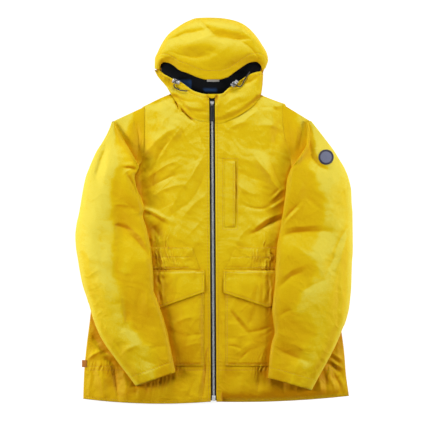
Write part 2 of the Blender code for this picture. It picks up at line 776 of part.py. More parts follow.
def make_hood_top(parka):
    """The crown of the hood, a dome from its outer seam to the brim over the face opening."""
    net = Net(HOOD_TOP, pitch=18, columns=11)
    beyond = np.clip(net.u - BRIM_WIDTH, 0.0, 1.0) / (1 - BRIM_WIDTH)
    dome = np.sqrt(1 - np.clip(beyond, 0.0, 1.0) ** HOOD_SQUARE)
    brim = BRIM_SHARE + (1 - BRIM_SHARE) * smooth_step(net.u / BRIM_WIDTH)
    ends = np.sin(math.pi * np.clip(net.v, 0.0, 1.0)) ** HOOD_END_BEND
    rest = parka.rest(net, reach=8, slope=STEEP)
    form = rest + HOOD_CROWN * dome * brim * ends
    form += relief(net.x, net.y, HOOD_FOLDS) * dome * ends
    parka.cloth("hood_top", net, np.maximum(form, rest), SHELL_CLOTH, parka.shell)


def make_chin_guard(parka):
    """The half-round tab over the top of the zip."""
    middle = zip_x(CHIN_GUARD_TOP_Y)
    sections = []
    for angle in np.linspace(CHIN_GUARD_START, math.pi - CHIN_GUARD_START, 7):
        x = middle - CHIN_GUARD_RADIUS * math.cos(angle)
        drop = CHIN_GUARD_RADIUS * math.sin(angle)
        sections.append(Section(x, CHIN_GUARD_TOP_Y, x, CHIN_GUARD_TOP_Y - drop))
    net = Net(sections, pitch=10, columns=2, straight=True)
    underside = parka.rest(net, reach=12)
    parka.cloth("chin_guard", net, underside, TRIM_CLOTH, parka.shell)


def make_badge(parka):
    """A bare round badge: rings of points about its middle, laid on the sleeve and moved out."""
    bpy.context.view_layer.update()
    sleeve = BVHTree.FromObject(
        bpy.data.objects["upper_sleeve_right"], bpy.context.evaluated_depsgraph_get()
    )
    middle = Vector((*BADGE_CENTRE, BADGE_ABOVE)) * MM
    mesh = bpy.data.meshes.new("sleeve_badge")
    work = bmesh.new()
    bmesh.ops.create_circle(
        work, cap_ends=True, cap_tris=True, segments=20, radius=BADGE_RADIUS * MM
    )
    spokes = [edge for edge in work.edges if not edge.is_boundary]
    bmesh.ops.subdivide_edges(work, edges=spokes, cuts=3)
    for vert in work.verts:
        place, normal = sleeve.ray_cast(vert.co + middle, Vector((0, 0, -1)))[:2]
        vert.co = place + normal * BADGE_LIFT * MM
    work.to_mesh(mesh)
    work.free()
    mesh.shade_smooth()
    obj = parka.link("sleeve_badge", mesh, parka.badge)
    thicken = obj.modifiers.new("badge", "SOLIDIFY")
    thicken.thickness = TRIM_CLOTH * MM
    thicken.offset = 1.0
    parka.stack.add(obj)


def make_side_label(parka):
    net = Net(upright(**SIDE_LABEL), pitch=10, columns=2, straight=True)
    underside = np.full_like(net.x, FRONT_EDGE_Z + SHELL_CLOTH + SIDE_LABEL_LIFT)
    parka.cloth("side_label", net, underside, TRIM_CLOTH, parka.label_tan)


def box_mesh(name, size, offset=(0.0, 0.0, 0.0)):
    """A box of this size about a point that lies offset from the object's origin."""
    mesh = bpy.data.meshes.new(name)
    work = bmesh.new()
    bmesh.ops.create_cube(work, size=MM)
    bmesh.ops.scale(work, vec=size, verts=work.verts)
    bmesh.ops.translate(work, vec=Vector(offset) * MM, verts=work.verts)
    work.to_mesh(mesh)
    work.free()
    return mesh


def bevel(obj, width, segments):
    rounding = obj.modifiers.new("rounding", "BEVEL")
    rounding.width = width * MM
    rounding.segments = segments


def tube_curve(name, path, radius):
    """A round tube of this radius along the path's points."""
    curve = bpy.data.curves.new(name, "CURVE")
    curve.dimensions = "3D"
    curve.bevel_depth = radius * MM
    curve.bevel_resolution = 2
    curve.use_fill_caps = True
    spline = curve.splines.new("POLY")
    spline.points.add(len(path) - 1)
    for point, place in zip(spline.points, path):
        point.co = (*(Vector(place) * MM), 1.0)
    return curve


def make_zip_teeth(parka):
    """The closed coil as one bar, and the box that holds its lower ends."""
    base = TAPE_Z + TAPE_CLOTH + SEAM_GAP
    low = ZIP_BOTTOM_Y + BOX_LENGTH + SEAM_GAP
    high = HINGE_Y + SLIDER_LENGTH / 2
    lean = math.atan2(ZIP_TOP_X - ZIP_BOTTOM_X, ZIP_TOP_Y - ZIP_BOTTOM_Y)
    middle = (low + high) / 2
    teeth = parka.link(
        "zip_teeth", box_mesh("zip_teeth", (TEETH_WIDTH, high - low, TEETH_HEIGHT)), parka.metal
    )
    teeth.location = Vector((zip_x(middle), middle, base + TEETH_HEIGHT / 2)) * MM
    teeth.rotation_euler.z = -lean
    bevel(teeth, TEETH_ROUNDING, 2)
    y = ZIP_BOTTOM_Y + BOX_LENGTH / 2
    end = parka.link("zip_box", box_mesh("zip_box", (BOX_WIDTH, BOX_LENGTH, BOX_HEIGHT)), parka.metal)
    end.location = Vector((zip_x(y), y, base + BOX_HEIGHT / 2)) * MM
    bevel(end, TEETH_ROUNDING, 2)


def slider_plate_z():
    return TAPE_Z + TAPE_CLOTH + SEAM_GAP + TEETH_HEIGHT + SEAM_GAP


def hinge_point():
    """Where the pull tab's axis crosses the middle of the slider."""
    return Vector((zip_x(HINGE_Y), HINGE_Y, slider_plate_z() + SLIDER_PLATE + HINGE_RISE)) * MM


def make_slider(parka):
    """A plate with an arched bail along it, joined into one solid."""
    drop = HINGE_RISE + SLIDER_PLATE / 2
    mesh = box_mesh("zip_slider", (SLIDER_WIDTH, SLIDER_LENGTH, SLIDER_PLATE), (0, 0, -drop))
    slider = parka.link("zip_slider", mesh, parka.metal)
    slider.location = hinge_point()
    bevel(slider, 0.5, 2)
    angles = np.linspace(0.0, math.pi, 11)
    arch = [(0, BAIL_RADIUS * math.cos(a), BAIL_RADIUS * math.sin(a) - HINGE_RISE) for a in angles]
    path = [(0, BAIL_RADIUS, -drop), *arch, (0, -BAIL_RADIUS, -drop)]
    wire = bpy.data.objects.new("bail", tube_curve("bail", path, BAIL_WIRE))
    wire.location = slider.location
    parka.collection.objects.link(wire)
    bail = as_mesh(parka, wire, "bail_solid")
    join = slider.modifiers.new("bail", "BOOLEAN")
    join.operation = "UNION"
    join.object = bail
    return slider


def as_mesh(parka, obj, name):
    """A helper mesh from a curve object, its caps welded, and the curve removed."""
    bpy.context.view_layer.update()
    graph = bpy.context.evaluated_depsgraph_get()
    mesh = bpy.data.meshes.new_from_object(obj.evaluated_get(graph))
    work = bmesh.new()
    work.from_mesh(mesh)
    bmesh.ops.remove_doubles(work, verts=work.verts, dist=1e-6)
    bmesh.ops.recalc_face_normals(work, faces=work.faces)
    work.to_mesh(mesh)
    work.free()
    solid = bpy.data.objects.new(name, mesh)
    solid.matrix_world = obj.matrix_world
    bpy.data.objects.remove(obj, do_unlink=True)
    parka.helpers.objects.link(solid)
    solid.hide_render = True
    solid.display_type = "WIRE"
    return solid


def make_pull_tab(parka):
    """A strip with an eye at its top that turns on the bail; its origin is on its axis."""
    length = TAB_LENGTH + TAB_BAR
    mesh = box_mesh("zip_pull", (TAB_WIDTH, length, TAB_THICKNESS), (0, TAB_BAR - length / 2, 0))
    tab = parka.link("zip_pull", mesh, parka.pull)
    tab.location = hinge_point()
    tab.rotation_euler.x = TAB_DROP
    eye = bpy.data.objects.new(
        "eye_cutter",
        box_mesh(
            "eye_cutter",
            (TAB_EYE_WIDTH, TAB_EYE_LENGTH, TAB_THICKNESS * 3),
            (0, -TAB_BAR - TAB_EYE_LENGTH / 2, 0),
        ),
    )
    eye.location = tab.location
    eye.rotation_euler = tab.rotation_euler
    parka.helpers.objects.link(eye)
    eye.hide_render = True
    eye.display_type = "WIRE"
    cut = tab.modifiers.new("eye", "BOOLEAN")
    cut.operation = "DIFFERENCE"
    cut.object = eye
    return tab


def make_cord_locks(parka):
    for side, place in LOCKS.items():
        mesh = bpy.data.meshes.new(f"cord_lock_{side}")
        work = bmesh.new()
        verts = [work.verts.new((r * MM, 0.0, -z * MM)) for r, z in LOCK_PROFILE]
        for first, second in zip(verts, verts[1:]):
            work.edges.new((first, second))
        work.to_mesh(mesh)
        work.free()
        lock = parka.link(mesh.name, mesh, parka.lock)
        turned = lock.modifiers.new("turned", "SCREW")
        turned.steps = 14
        turned.render_steps = 14
        turned.use_merge_vertices = True
        turned.merge_threshold = 1e-5
        half = LOCK_PROFILE[-1][1] / 2
        along = Vector((math.cos(place["turn"]), math.sin(place["turn"]), 0.0))
        middle = Vector((place["x"], place["y"], place["z"]))
        lock.location = (middle - along * half) * MM
        lock.rotation_euler = (0.0, -math.pi / 2, place["turn"])


def make_cords(parka):
    for side, route in CORDS.items():
        table = np.array(route, float)
        steps = np.linalg.norm(np.diff(table, axis=0), axis=1)
        keys = np.concatenate([[0.0], np.cumsum(steps)])
        share = np.linspace(0.0, keys[-1], round(keys[-1] / CORD_STEP) + 1)
        path = np.stack([smooth_through(keys, column, share) for column in table.T], axis=1)
        name = f"hood_cord_{side}"
        parka.link(name, tube_curve(name, path, CORD_RADIUS), parka.cord)


def main():
    clear_scene()
    parka = Parka()
    make_back(parka)
    make_hood_back(parka)
    make_hood_lining(parka)
    make_neck_label(parka)
    make_zip_tapes(parka)
    make_fronts(parka)
    make_zip_teeth(parka)
    make_slider(parka)
    make_pull_tab(parka)
    make_casings(parka)
    make_welt(parka)
    make_pockets(parka)
    make_flaps(parka)
    make_side_label(parka)
    make_sleeves(parka)
    make_badge(parka)
    make_collars(parka)
    make_chin_guard(parka)
    make_hood_top(parka)
    make_cord_locks(parka)
    make_cords(parka)


main()
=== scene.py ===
"""Looks of a hooded parka laid flat: its cloth, sewing, zip and trim, built round the packed model.

Sizes in tables and in named values are millimetres, and meshes are metres. Left and right are as
the parka is looked at, and +Y runs from the hem to the hood.
"""

import math
from collections import namedtuple

import bmesh
import bpy
import numpy as np
from bpy.props import FloatProperty, FloatVectorProperty, PointerProperty
from mathutils import Matrix, Vector
from mathutils.bvhtree import BVHTree


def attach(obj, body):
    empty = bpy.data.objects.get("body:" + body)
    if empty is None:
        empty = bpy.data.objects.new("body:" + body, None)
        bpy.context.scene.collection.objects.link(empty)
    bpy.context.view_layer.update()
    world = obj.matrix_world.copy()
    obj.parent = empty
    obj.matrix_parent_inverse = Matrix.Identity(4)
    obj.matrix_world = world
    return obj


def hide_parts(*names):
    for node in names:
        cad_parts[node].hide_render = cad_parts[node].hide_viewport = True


bl_info = {
    "name": "Hooded parka",
    "version": (1, 0, 0),
    "blender": (4, 5, 0),
    "location": "View3D > Sidebar > Parka",
    "description": "Dresses the packed model of a hooded parka in its cloth, sewing, zip and trim",
    "category": "Object",
}

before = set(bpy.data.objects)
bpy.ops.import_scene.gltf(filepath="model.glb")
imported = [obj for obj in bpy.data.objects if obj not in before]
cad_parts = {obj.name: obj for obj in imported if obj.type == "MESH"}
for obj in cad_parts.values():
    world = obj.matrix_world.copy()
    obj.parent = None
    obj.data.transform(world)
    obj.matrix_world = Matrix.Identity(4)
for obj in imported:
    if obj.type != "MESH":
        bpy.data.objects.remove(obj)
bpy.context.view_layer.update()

MM = 0.001
DOWN = Vector((0, 0, -1))
ABOVE = 0.1                 # metres, a height above everything
QUICK = 1.0

# The net of each piece of cloth, and how it lies
FINE = 2.6 * QUICK          # spacing of the points on cloth that shows
COARSE = 6.0                # spacing where little shows
CELL = 2.5 * QUICK          # spacing of the net that keeps the height of what is laid
CLEAR = 0.15                # between a piece and what it lies on
LAP = 3.0                   # how far a piece reaches over the one it is sewn to
FACET = 0.42                # how far heights are evened out, as a share of the solid's own facets
CREST = 1.12                # lower for sharper creases
FOLD_TURNS = (35, 70, 105, 140, 170)    # degrees, rows of points round a folded edge
FOLD_OUT = 0.4              # how far a folded edge bulges, as a share of half its height
CREASE_DEPTH = 1.3          # scales the listed creases
CREASE_WANDER = 2.2         # how far they stray from their lines
CREASE_WANDER_SIZE = 26
ROLL_REACH = 2.0            # how far in from a free edge its rounding starts
LAYERS_X = 350.0            # how far out heights are kept
LAYERS_Y = 480.0

# Thickness of the pieces that don't have the shell's own
LINING_CLOTH = 1.2
LABEL_CLOTH = 0.6
TAPE_CLOTH = 1.0
BACK_CLOTH = 2.0
CASING_CLOTH = 0.5
WELT_CLOTH = 0.5
POCKET_CLOTH = 0.6
FLAP_CLOTH = 0.9
UNDER_SLEEVE_CLOTH = 0.3
COLLAR_CLOTH = 0.4
CHIN_GUARD_CLOTH = 1.0
SIDE_TAB_CLOTH = 1.1

# Painted shade and light in the cloth's colour: how far it turns towards the shaded orange or the lit yellow
SHUT_REACHES = (5, 8, 12, 18, 26, 38, 55)
SHUT_WAYS = 12              # looked along from each point
SHUT_STEP = 0.6             # what doesn't count as closed in
SHUT_GAIN = 2.0             # where it is closed in by what stands round it
# painted shade where the cloth turns from the three lights, whose directions and shares follow
TURNED_GAIN = 1.3           # where it is turned away from these directions, with their shares
TURNED_TO = ((0.65, (-0.86, 0.0, 0.5)), (0.5, (0.86, 0.0, 0.5)), (1.0, (0.0, 0.9, 0.43)))
TURNED_SHARES = {"under_sleeve": 0.4, "hood_top": 0.6, "collar": 0.7}
LOW_GAIN = 0.3              # towards the hem of the body
SIDE_GAIN = 0.4             # from the outer to the inner sides of the sleeves
TONE_START = 0.22           # elsewhere

# Zip, as in the model
ZIP_TOP_Y = 263.0
ZIP_BOTTOM_Y = -455.0
ZIP_TOP_X = -4.6
ZIP_BOTTOM_X = -0.7
ZIP_GAP = 13.6
TAPE_Z = 10.5
TAPE_WIDTH = 15.0
TAPE_OVER = 6.0
COIL_PITCH = 2.4            # drawn coarser than the real 1.4, which wouldn't show
COIL_REACH = 2.3            # from the zip's middle to the outer end of a coil's loops
COIL_LAP = 0.6              # how far the loops pass the middle
COIL_HEIGHT = 3.0
COIL_WIRE = 0.55
COIL_SIDES = 6
COIL_GAP = 0.3              # between the coil and the tapes below it or the slider above it
COIL_BASE = TAPE_Z + TAPE_CLOTH + COIL_GAP
BOX_LENGTH = 13.0
BOX_WIDTH = 8.4
BOX_HEIGHT = 4.0
SLIDER_LENGTH = 13.0
SLIDER_TOP_WIDTH = 10.0
SLIDER_LOW_WIDTH = 7.6
SLIDER_PLATE = 1.6
BAIL_RADIUS = 4.0
BAIL_WIRE = 0.8
HINGE_Y = 258.5
HINGE_RISE = 1.6
TAB_LENGTH = 43.0
TAB_WIDTH = 7.0
TAB_THICKNESS = 1.8
TAB_BAR = 0.8
TAB_EYE_LENGTH = 5.0
TAB_EYE_WIDTH = 2.7
TAB_DROP = math.radians(3.0)
TAB_SIDES = 16
# Along the tab, half its width, half its thickness
TAB_SHAPE = [
    (TAB_BAR, 2.7, 0.5), (TAB_BAR - 0.7, 3.4, 0.8), (-0.8, 3.5, 0.85), (-5.8, 3.5, 0.85), (-6.6, 3.5, 0.9),
    (-8.5, 3.3, 0.9), (-14.0, 2.9, 0.75), (-20.0, 2.9, 0.7), (-34.0, 3.3, 0.8), (-41.0, 3.5, 0.9),
    (-42.4, 3.1, 0.8), (-TAB_LENGTH, 2.2, 0.4),
]
TAB_GRIP = (-40, -30)       # where its grip ribs run
TAB_GRIP_PITCH = 2.4
TAB_GRIP_DEPTH = 0.16

# Sewing
STITCH = 4.2                # length, drawn longer than the real 3 so that it shows
STITCH_PITCH = 6.0
THREAD = 0.42               # half thickness, drawn stouter than the real 0.2
THREAD_SIDES = 5
GROOVE_DEPTH = 0.5
GROOVE_REACH = 1.6
PUCKER_REACH = 8.0
PUCKER_PITCHES = (8.6, 5.3)
EDGE_STITCH = 5.5           # from a free edge to its stitching
POCKET_STITCH = 4.0         # from the sides of a pocket, and from the edge of its welt
LOW_STITCH = 5.0            # from a pocket's lower edge, and from a flap's seam
COLLAR_STITCH = 8.0         # from the edge of the face opening
NECK_STITCH = 4.0
CHIN_STITCH = 2.5
HEM_STITCH_Y = -373.0       # upper of the body hem's two rows
HEM_STITCH_GAP = 8.0
HEM_STITCH_END = 305        # how far out both rows run
HEM_STITCH_STARTS = (236, 10)       # and where they start, the upper one beside the pocket
CASING_STITCH_X = (60, 170)
CUFF_HEM = 26.0
BRIM_HEM = 22.0

# Body
BACK_INSET = 1.5
HEM_BOW = {"left": -8.0, "right": -5.5, "back": -9.0}
HEM_BOW_SHARE = 0.1
NECK_BACK_Y = 279.0
NECK_Y = 214                # the fronts' zip edges end here, under the hood

# Tables of sections across a piece: x and y of its edge a, then x and y of its edge b
ZIP = None                  # stands for the zip's edge in these tables

# Front, from the hem up: side seam, armhole and shoulder (a), zip and neck seam (b)
FRONTS = {
    "left": [
        (-314, -450, ZIP, -457), (-312, -393, ZIP, -398), (-307, -333, ZIP, -338),
        (-298, -261, ZIP, -266), (-290, -189, ZIP, -194), (-283, -122, ZIP, -122), (-283, -57, ZIP, -57),
        (-281, 3, ZIP, 8), (-274, 34, ZIP, 46), (-245, 68, ZIP, 85), (-206, 94, ZIP, 123),
        (-180, 123, ZIP, 152), (-174, 159, ZIP, 176), (-174, 200, ZIP, 200), (-174, 234, ZIP, 221),
        (-173, 248, -34, 226), (-154, 259, -56, 236), (-130, 271, -72, 253), (-104, 282, -92, 274),
    ],
    "right": [
        (324, -443, ZIP, -457), (317, -393, ZIP, -398), (312, -333, ZIP, -338), (302, -261, ZIP, -266),
        (295, -189, ZIP, -194), (288, -122, ZIP, -122), (283, -57, ZIP, -57), (281, 3, ZIP, 8),
        (274, 34, ZIP, 46), (245, 68, ZIP, 85), (211, 104, ZIP, 123), (187, 142, ZIP, 150),
        (180, 164, ZIP, 172), (175, 190, ZIP, 192), (172, 224, ZIP, 218), (172, 255, 29, 223),
        (154, 263, 57, 237), (133, 271, 84, 255), (115, 278, 102, 272),
    ],
}
# Sleeve, from the shoulder down to the cuff: left edge (a), right edge (b)
SLEEVES = {
    "left": [
        (-244, 216, -238, 212), (-254, 190, -228, 188), (-268, 164, -210, 159), (-280, 145, -192, 128),
        (-289, 126, -181, 106), (-298, 104, -191, 85), (-306, 82, -187, 58), (-312, 54, -175, 30),
        (-317, 25, -168, 6), (-322, -4, -171, -9), (-328, -30, -163, -38), (-331, -59, -157, -66),
        (-329, -88, -151, -98), (-324, -117, -149, -124), (-319, -146, -146, -155),
        (-312, -179, -145, -189), (-302, -208, -136, -213), (-295, -232, -130, -232),
        (-287, -261, -121, -261), (-276, -290, -113, -290), (-259, -321, -106, -323),
        (-235, -354, -100, -352), (-211, -386, -96, -371), (-186, -419, -94, -387),
    ],
    "right": [
        (223, 214, 232, 217), (224, 190, 251, 193), (223, 162, 274, 163), (212, 140, 287, 145),
        (199, 121, 298, 127), (184, 99, 313, 102), (176, 75, 323, 75), (173, 49, 328, 49),
        (170, 22, 329, 20), (167, -4, 331, -6), (162, -30, 331, -35), (157, -57, 331, -64),
        (152, -86, 331, -93), (150, -117, 329, -122), (148, -148, 328, -150), (146, -182, 327, -182),
        (142, -213, 324, -213), (140, -237, 321, -235), (143, -266, 314, -261), (146, -290, 304, -287),
        (139, -316, 292, -318), (134, -347, 276, -350), (132, -376, 254, -390), (130, -400, 233, -429),
    ],
}
SLEEVE_INSET = 2.0
SLEEVE_LEVEL = 0.86         # height of a sleeve's level half, as a share of the solid's
# Where the under sleeve's edge laps the front's armhole, for the first sections of the sleeve
ARMHOLES = {
    "left": [(-170, 248), (-170, 224), (-170, 192), (-171, 158), (-176, 124)],
    "right": [(168, 254), (168, 222), (171, 190), (177, 163), (184, 140)],
}
# Hood on the floor, from the neck up: left edge (a), right edge (b)
HOOD_BACK = [
    (-102, 280, 113, 280), (-109, 298, 115, 298), (-126, 316, 115, 317), (-136, 332, 119, 337),
    (-140, 353, 128, 356), (-137, 373, 127, 375), (-130, 387, 123, 387), (-124, 401, 114, 400),
    (-117, 416, 103, 416), (-102, 429, 90, 430), (-82, 444, 76, 445), (-66, 453, 57, 454),
    (-45, 461, 19, 461),
]
# Crown of the hood, from its left end to its right: brim (a), outer edge (b)
HOOD_TOP = [
    (-131, 341, -141, 342), (-128, 351, -141, 363), (-120, 358, -133, 384), (-108, 356, -122, 406),
    (-96, 349, -109, 424), (-82, 338, -89, 440), (-62, 331, -66, 454), (-41, 322, -41, 463),
    (-17, 316, -14, 464), (10, 316, 14, 463), (31, 321, 41, 459), (50, 334, 65, 451), (70, 348, 85, 437),
    (86, 357, 102, 418), (100, 359, 115, 398), (110, 353, 126, 378), (115, 344, 129, 362),
    (116, 338, 122, 342),
]
# Lining seen through the face opening, from left to right: lower edge (a), upper edge (b)
HOOD_LINING = [
    (-126, 334, -128, 352), (-110, 312, -112, 380), (-84, 290, -80, 398), (-40, 262, -40, 404),
    (0, 250, 0, 405), (40, 258, 40, 402), (78, 290, 78, 394), (102, 318, 102, 378), (112, 336, 115, 358),
]
# Front of the hood below the face opening: neck seam or outer edge (a), free edge (b)
COLLARS = {
    "left": [
        (-140, 339, -131, 339.5), (-133, 326, -122, 331), (-125, 316, -110, 324), (-112, 301, -96, 317),
        (-102, 284, -79, 310), (-91, 268, -65, 300), (-74, 249, -50, 290), (-58, 231, -36, 285),
        (-35, 220, -24, 282), (ZIP, 217, ZIP, 281),
    ],
    "right": [
        (ZIP, 214, ZIP, 281), (19, 215, 19, 283), (38, 222, 34, 295), (58, 231, 48, 304),
        (77, 243, 62, 314), (91, 254, 79, 325), (104, 268, 94, 332), (112, 280, 105, 335),
        (116, 306, 112, 336), (117, 331, 115, 335.5),
    ],
}
POCKETS = {
    "left": {"left": -227, "right": -25, "bottom": -372, "top": -150},
    "right": {"left": 28, "right": 230, "bottom": -372, "top": -150},
}
FLAPS = {
    "left": {"inner": -23, "outer": -235, "top": -141, "side": -194, "point": -232},
    "right": {"inner": 23, "outer": 235, "top": -142, "side": -196, "point": -231},
}
CASINGS = {
    "left": {"inner_top": -53, "inner_bottom": -34, "outer": -262},
    "right": {"inner_top": 53, "inner_bottom": 26, "outer": 262},
}
CASING_TOP_Y = -86.0
CASING_BOTTOM_Y = -138.0
CASING_STITCH_YS = (CASING_TOP_Y - 2, -110.0, CASING_BOTTOM_Y + 3)
WELT = {"left": 26, "right": 50, "bottom": -38, "top": 121}
SIDE_LABEL = {"left": -317, "right": -306, "bottom": -374, "top": -357}
NECK_LABEL = {"left": -17, "right": 13, "bottom": 311, "top": 327}
# Patches of painted light on the lining: left, right, lower and upper edge
LINING_PATCHES = [(-80, -53, 292, 318), (-24, 8, 284, 297)]
CHIN_GUARD_RADIUS = 10.5
CHIN_GUARD_START = math.radians(10.0)
CHIN_GUARD_TOP_Y = 281.5
BADGE_CENTRE = (269.0, 130.0)
BADGE_SIDES = 56
BADGE_RIM = 13.9            # where its darker rim starts
# Rings of the badge, from its middle out: radius, height above the sleeve
BADGE_RINGS = [
    (0.001, 1.3), (3.5, 1.3), (7, 1.3), (10.5, 1.3), (13.2, 1.3), (13.8, 1.35), (14.6, 1.9), (17.2, 1.9),
    (18.2, 1.5), (18.5, 0.6),
]
BADGE_UNDERSIDE = 0.15
LOCKS = {
    "left": {"x": -91.0, "y": 311.5, "z": 15.3, "turn": math.radians(-20.0)},
    "right": {"x": 49.5, "y": 307.0, "z": 18.8, "turn": math.radians(41.0)},
}
# A lock along its length: radius, place
LOCK_PROFILE = [
    (0.6, 0.0), (4.2, 0.0), (5.0, 0.3), (5.5, 1.0), (5.3, 3.5), (5.5, 4.2), (5.5, 8.0), (5.3, 8.6),
    (5.5, 11.0), (5.1, 11.8), (4.4, 12.1), (3.5, 12.3), (3.4, 13.8), (4.3, 14.2), (4.6, 14.8),
    (4.6, 17.4), (4.2, 18.1), (3.2, 18.4), (0.6, 18.4),
]
LOCK_SIDES = 28
# The two strands of cord that cross a lock
STRAND_RADIUS = 0.95
STRAND_SIDES = 8
STRAND_LIFT = 6.25          # from the lock's middle line
STRAND_TURN = 1.05          # radians round the lock, to each side
STRAND_REACH = 4.6          # along the lock, to each side of its middle
STRAND_MIDDLE = -2.2
# Each cord's route, from the side of its lock to where it goes into the hood
CORDS = {
    "left": [
        (-95.2, 305.9, 15.3), (-96.1, 303.2, 13.8), (-95.6, 300.0, 12.0), (-92.3, 296.2, 12.0),
        (-82.0, 291.0, 14.5), (-72.0, 289.0, 16.2), (-64.0, 288.5, 16.8),
    ],
    "right": [
        (54.7, 302.5, 18.7), (57.0, 299.9, 17.0), (61.0, 298.9, 15.4), (65.3, 301.2, 15.0),
        (68.8, 306.5, 14.9), (71.7, 313.0, 14.8), (75.7, 319.8, 14.8), (81.0, 327.5, 14.4),
        (85.5, 334.5, 9.5),
    ],
}
CORD_RADIUS = 1.4
CORD_STEP = 0.6
CORD_SIDES = 14
CORD_TWIST = 4.5            # length of one turn of the braid

Crease = namedtuple("Crease", "x0 y0 x1 y1 bow height left right")
# Creases: two ends, bow to the left of the way from one to the other, height (below 0 for
# a trough), and reach to the left and to the right
FRONT_CREASES = {
    "left": [
        (-168, 140, -92, 202, 6, 3.0, 10, 16), (-120, 140, -84, 196, 3, 1.8, 7, 12),
        (-140, 118, -104, 172, 4, -1.6, 8, 8), (-178, 104, -168, 10, 0, -2.6, 22, 12),
        (-144, 92, -146, 50, 0, -1.6, 5, 5), (-172, 8, -116, -16, 3, 5.0, 4, 30),
        (-166, -2, -118, -30, 3, -2.2, 4, 12), (-148, -38, -130, -64, 0, -3.6, 12, 14),
        (-150, 60, -92, 84, 4, -1.4, 6, 5), (-140, 40, -80, 62, 5, 1.2, 7, 6),
        (-146, 90, -88, 120, 4, 1.2, 8, 6), (-84, 46, -22, 146, -6, 1.3, 12, 9),
        (-60, 20, -20, 98, -4, -1.0, 9, 8), (-72, -12, -18, 40, 3, 1.1, 10, 8),
        (-112, -20, -50, 24, 4, -0.9, 9, 9), (-96, 214, -60, 168, 3, 1.1, 9, 7),
        (-40, 196, -18, 130, 2, -0.9, 8, 6), (-140, 230, -138, 176, 2, -1.0, 8, 6),
        (-118, 240, -114, 190, 2, 0.9, 9, 7), (-62, -60, -26, -20, 2, 0.8, 8, 6),
        (-95, 263, -85, 243, 0, -4.2, 3.5, 3), (-78, 245, -71, 237, 0, -3.6, 3, 3),
        (-69, 236, -50, 216, 0, -4.2, 4, 3), (-12, -322, -27, -455, -3, -2.2, 3, 3),
        (-20, -345, -38, -455, -3, 1.3, 6, 5), (-46, -400, -60, -455, -2, -1.0, 7, 6),
        (-303, -352, -262, -332, 3, 2.6, 5, 6), (-292, -300, -276, -318, 0, -3.0, 7, 6),
        (-276, -326, -252, -342, -2, -3.4, 6, 5), (-262, -352, -240, -366, 0, -2.8, 6, 6),
        (-243, -374, -231, -452, 3, -4.2, 7, 5), (-274, -392, -264, -450, 2, 2.2, 7, 8),
        (-218, -382, -210, -450, 2, 1.8, 7, 6), (-296, -384, -300, -446, 0, 1.4, 8, 7),
        (-288, -376, -290, -410, 0, -1.3, 4, 4), (-192, -400, -186, -452, 0, -1.6, 6, 6),
        (-162, -402, -160, -442, 0, -1.6, 2.5, 3), (-150, -398, -147, -436, 0, -1.9, 2.5, 4),
        (-141, -394, -140, -440, 0, -1.7, 3, 2.5), (-130, -390, -131, -430, 0, -2.0, 2.5, 3),
        (-121, -388, -119, -440, 0, -1.6, 2.5, 4), (-112, -386, -113, -426, 0, -1.7, 3, 2.5),
        (-101, -384, -103, -420, 0, -1.2, 2.5, 3),
    ],
    "right": [
        (52.5, 112, 53, -8, 0, -2.0, 2.2, 2), (118, 123, 168, 36, -4, 2.6, 16, 9),
        (140, 112, 166, 52, -2, -2.4, 6, 8), (96, -40, 162, -6, 3, 2.6, 8, 5),
        (98, -50, 166, -17, 2, -4.6, 4, 9), (70, 15, 126, 8, -5, -1.5, 2.4, 3),
        (128, 12, 170, 36, 0, -1.6, 3, 3), (132, 6, 172, 28, 0, 1.2, 3, 3),
        (136, 30, 164, 50, 0, 1.0, 2.5, 2.5), (139, 24, 168, 44, 0, -1.2, 2.5, 2.5),
        (136, 38, 160, 56, 0, -1.0, 2.5, 2.5), (62, 94, 118, 74, -4, -1.3, 12, 9),
        (60, 60, 112, 40, -4, 1.2, 10, 9), (100, 130, 140, 84, -3, 1.5, 9, 7),
        (40, 222, 90, 252, -4, -2.2, 5, 12), (60, 210, 104, 246, -3, 1.6, 9, 12),
        (36, 196, 80, 214, 4, 1.0, 9, 9), (110, 250, 166, 238, 2, -1.0, 6, 6),
        (104, 206, 160, 196, 4, 1.4, 12, 9), (140, 190, 150, 130, 3, -1.1, 9, 7),
        (56, -78, 92, -30, 3, 1.0, 9, 7), (9, -236, 22, -298, 2, -1.6, 3, 3),
        (16, -330, 26, -400, 2, 0.9, 6, 6), (279, -336, 312, -358, 0, 1.8, 3, 3.5),
        (276, -346, 308, -366, 0, -2.0, 3, 3), (276, -356, 306, -374, 0, 1.5, 3, 3.5),
        (270, -366, 304, -386, 2, -3.6, 5, 6), (248, -386, 258, -440, 2, 1.9, 4, 5),
        (262, -384, 270, -436, 2, -2.0, 4, 4), (276, -392, 290, -440, 2, 1.8, 4, 5),
        (290, -392, 304, -436, 2, -1.8, 4, 4), (302, -398, 316, -436, 0, 1.4, 5, 5),
        (110, -384, 104, -440, 0, -1.6, 7, 6), (134, -378, 138, -440, 0, 1.5, 7, 6),
        (168, -400, 166, -446, 0, -1.4, 7, 7), (200, -412, 204, -450, 0, 1.2, 7, 7),
        (70, -384, 62, -436, 0, 0.9, 9, 8),
    ],
}
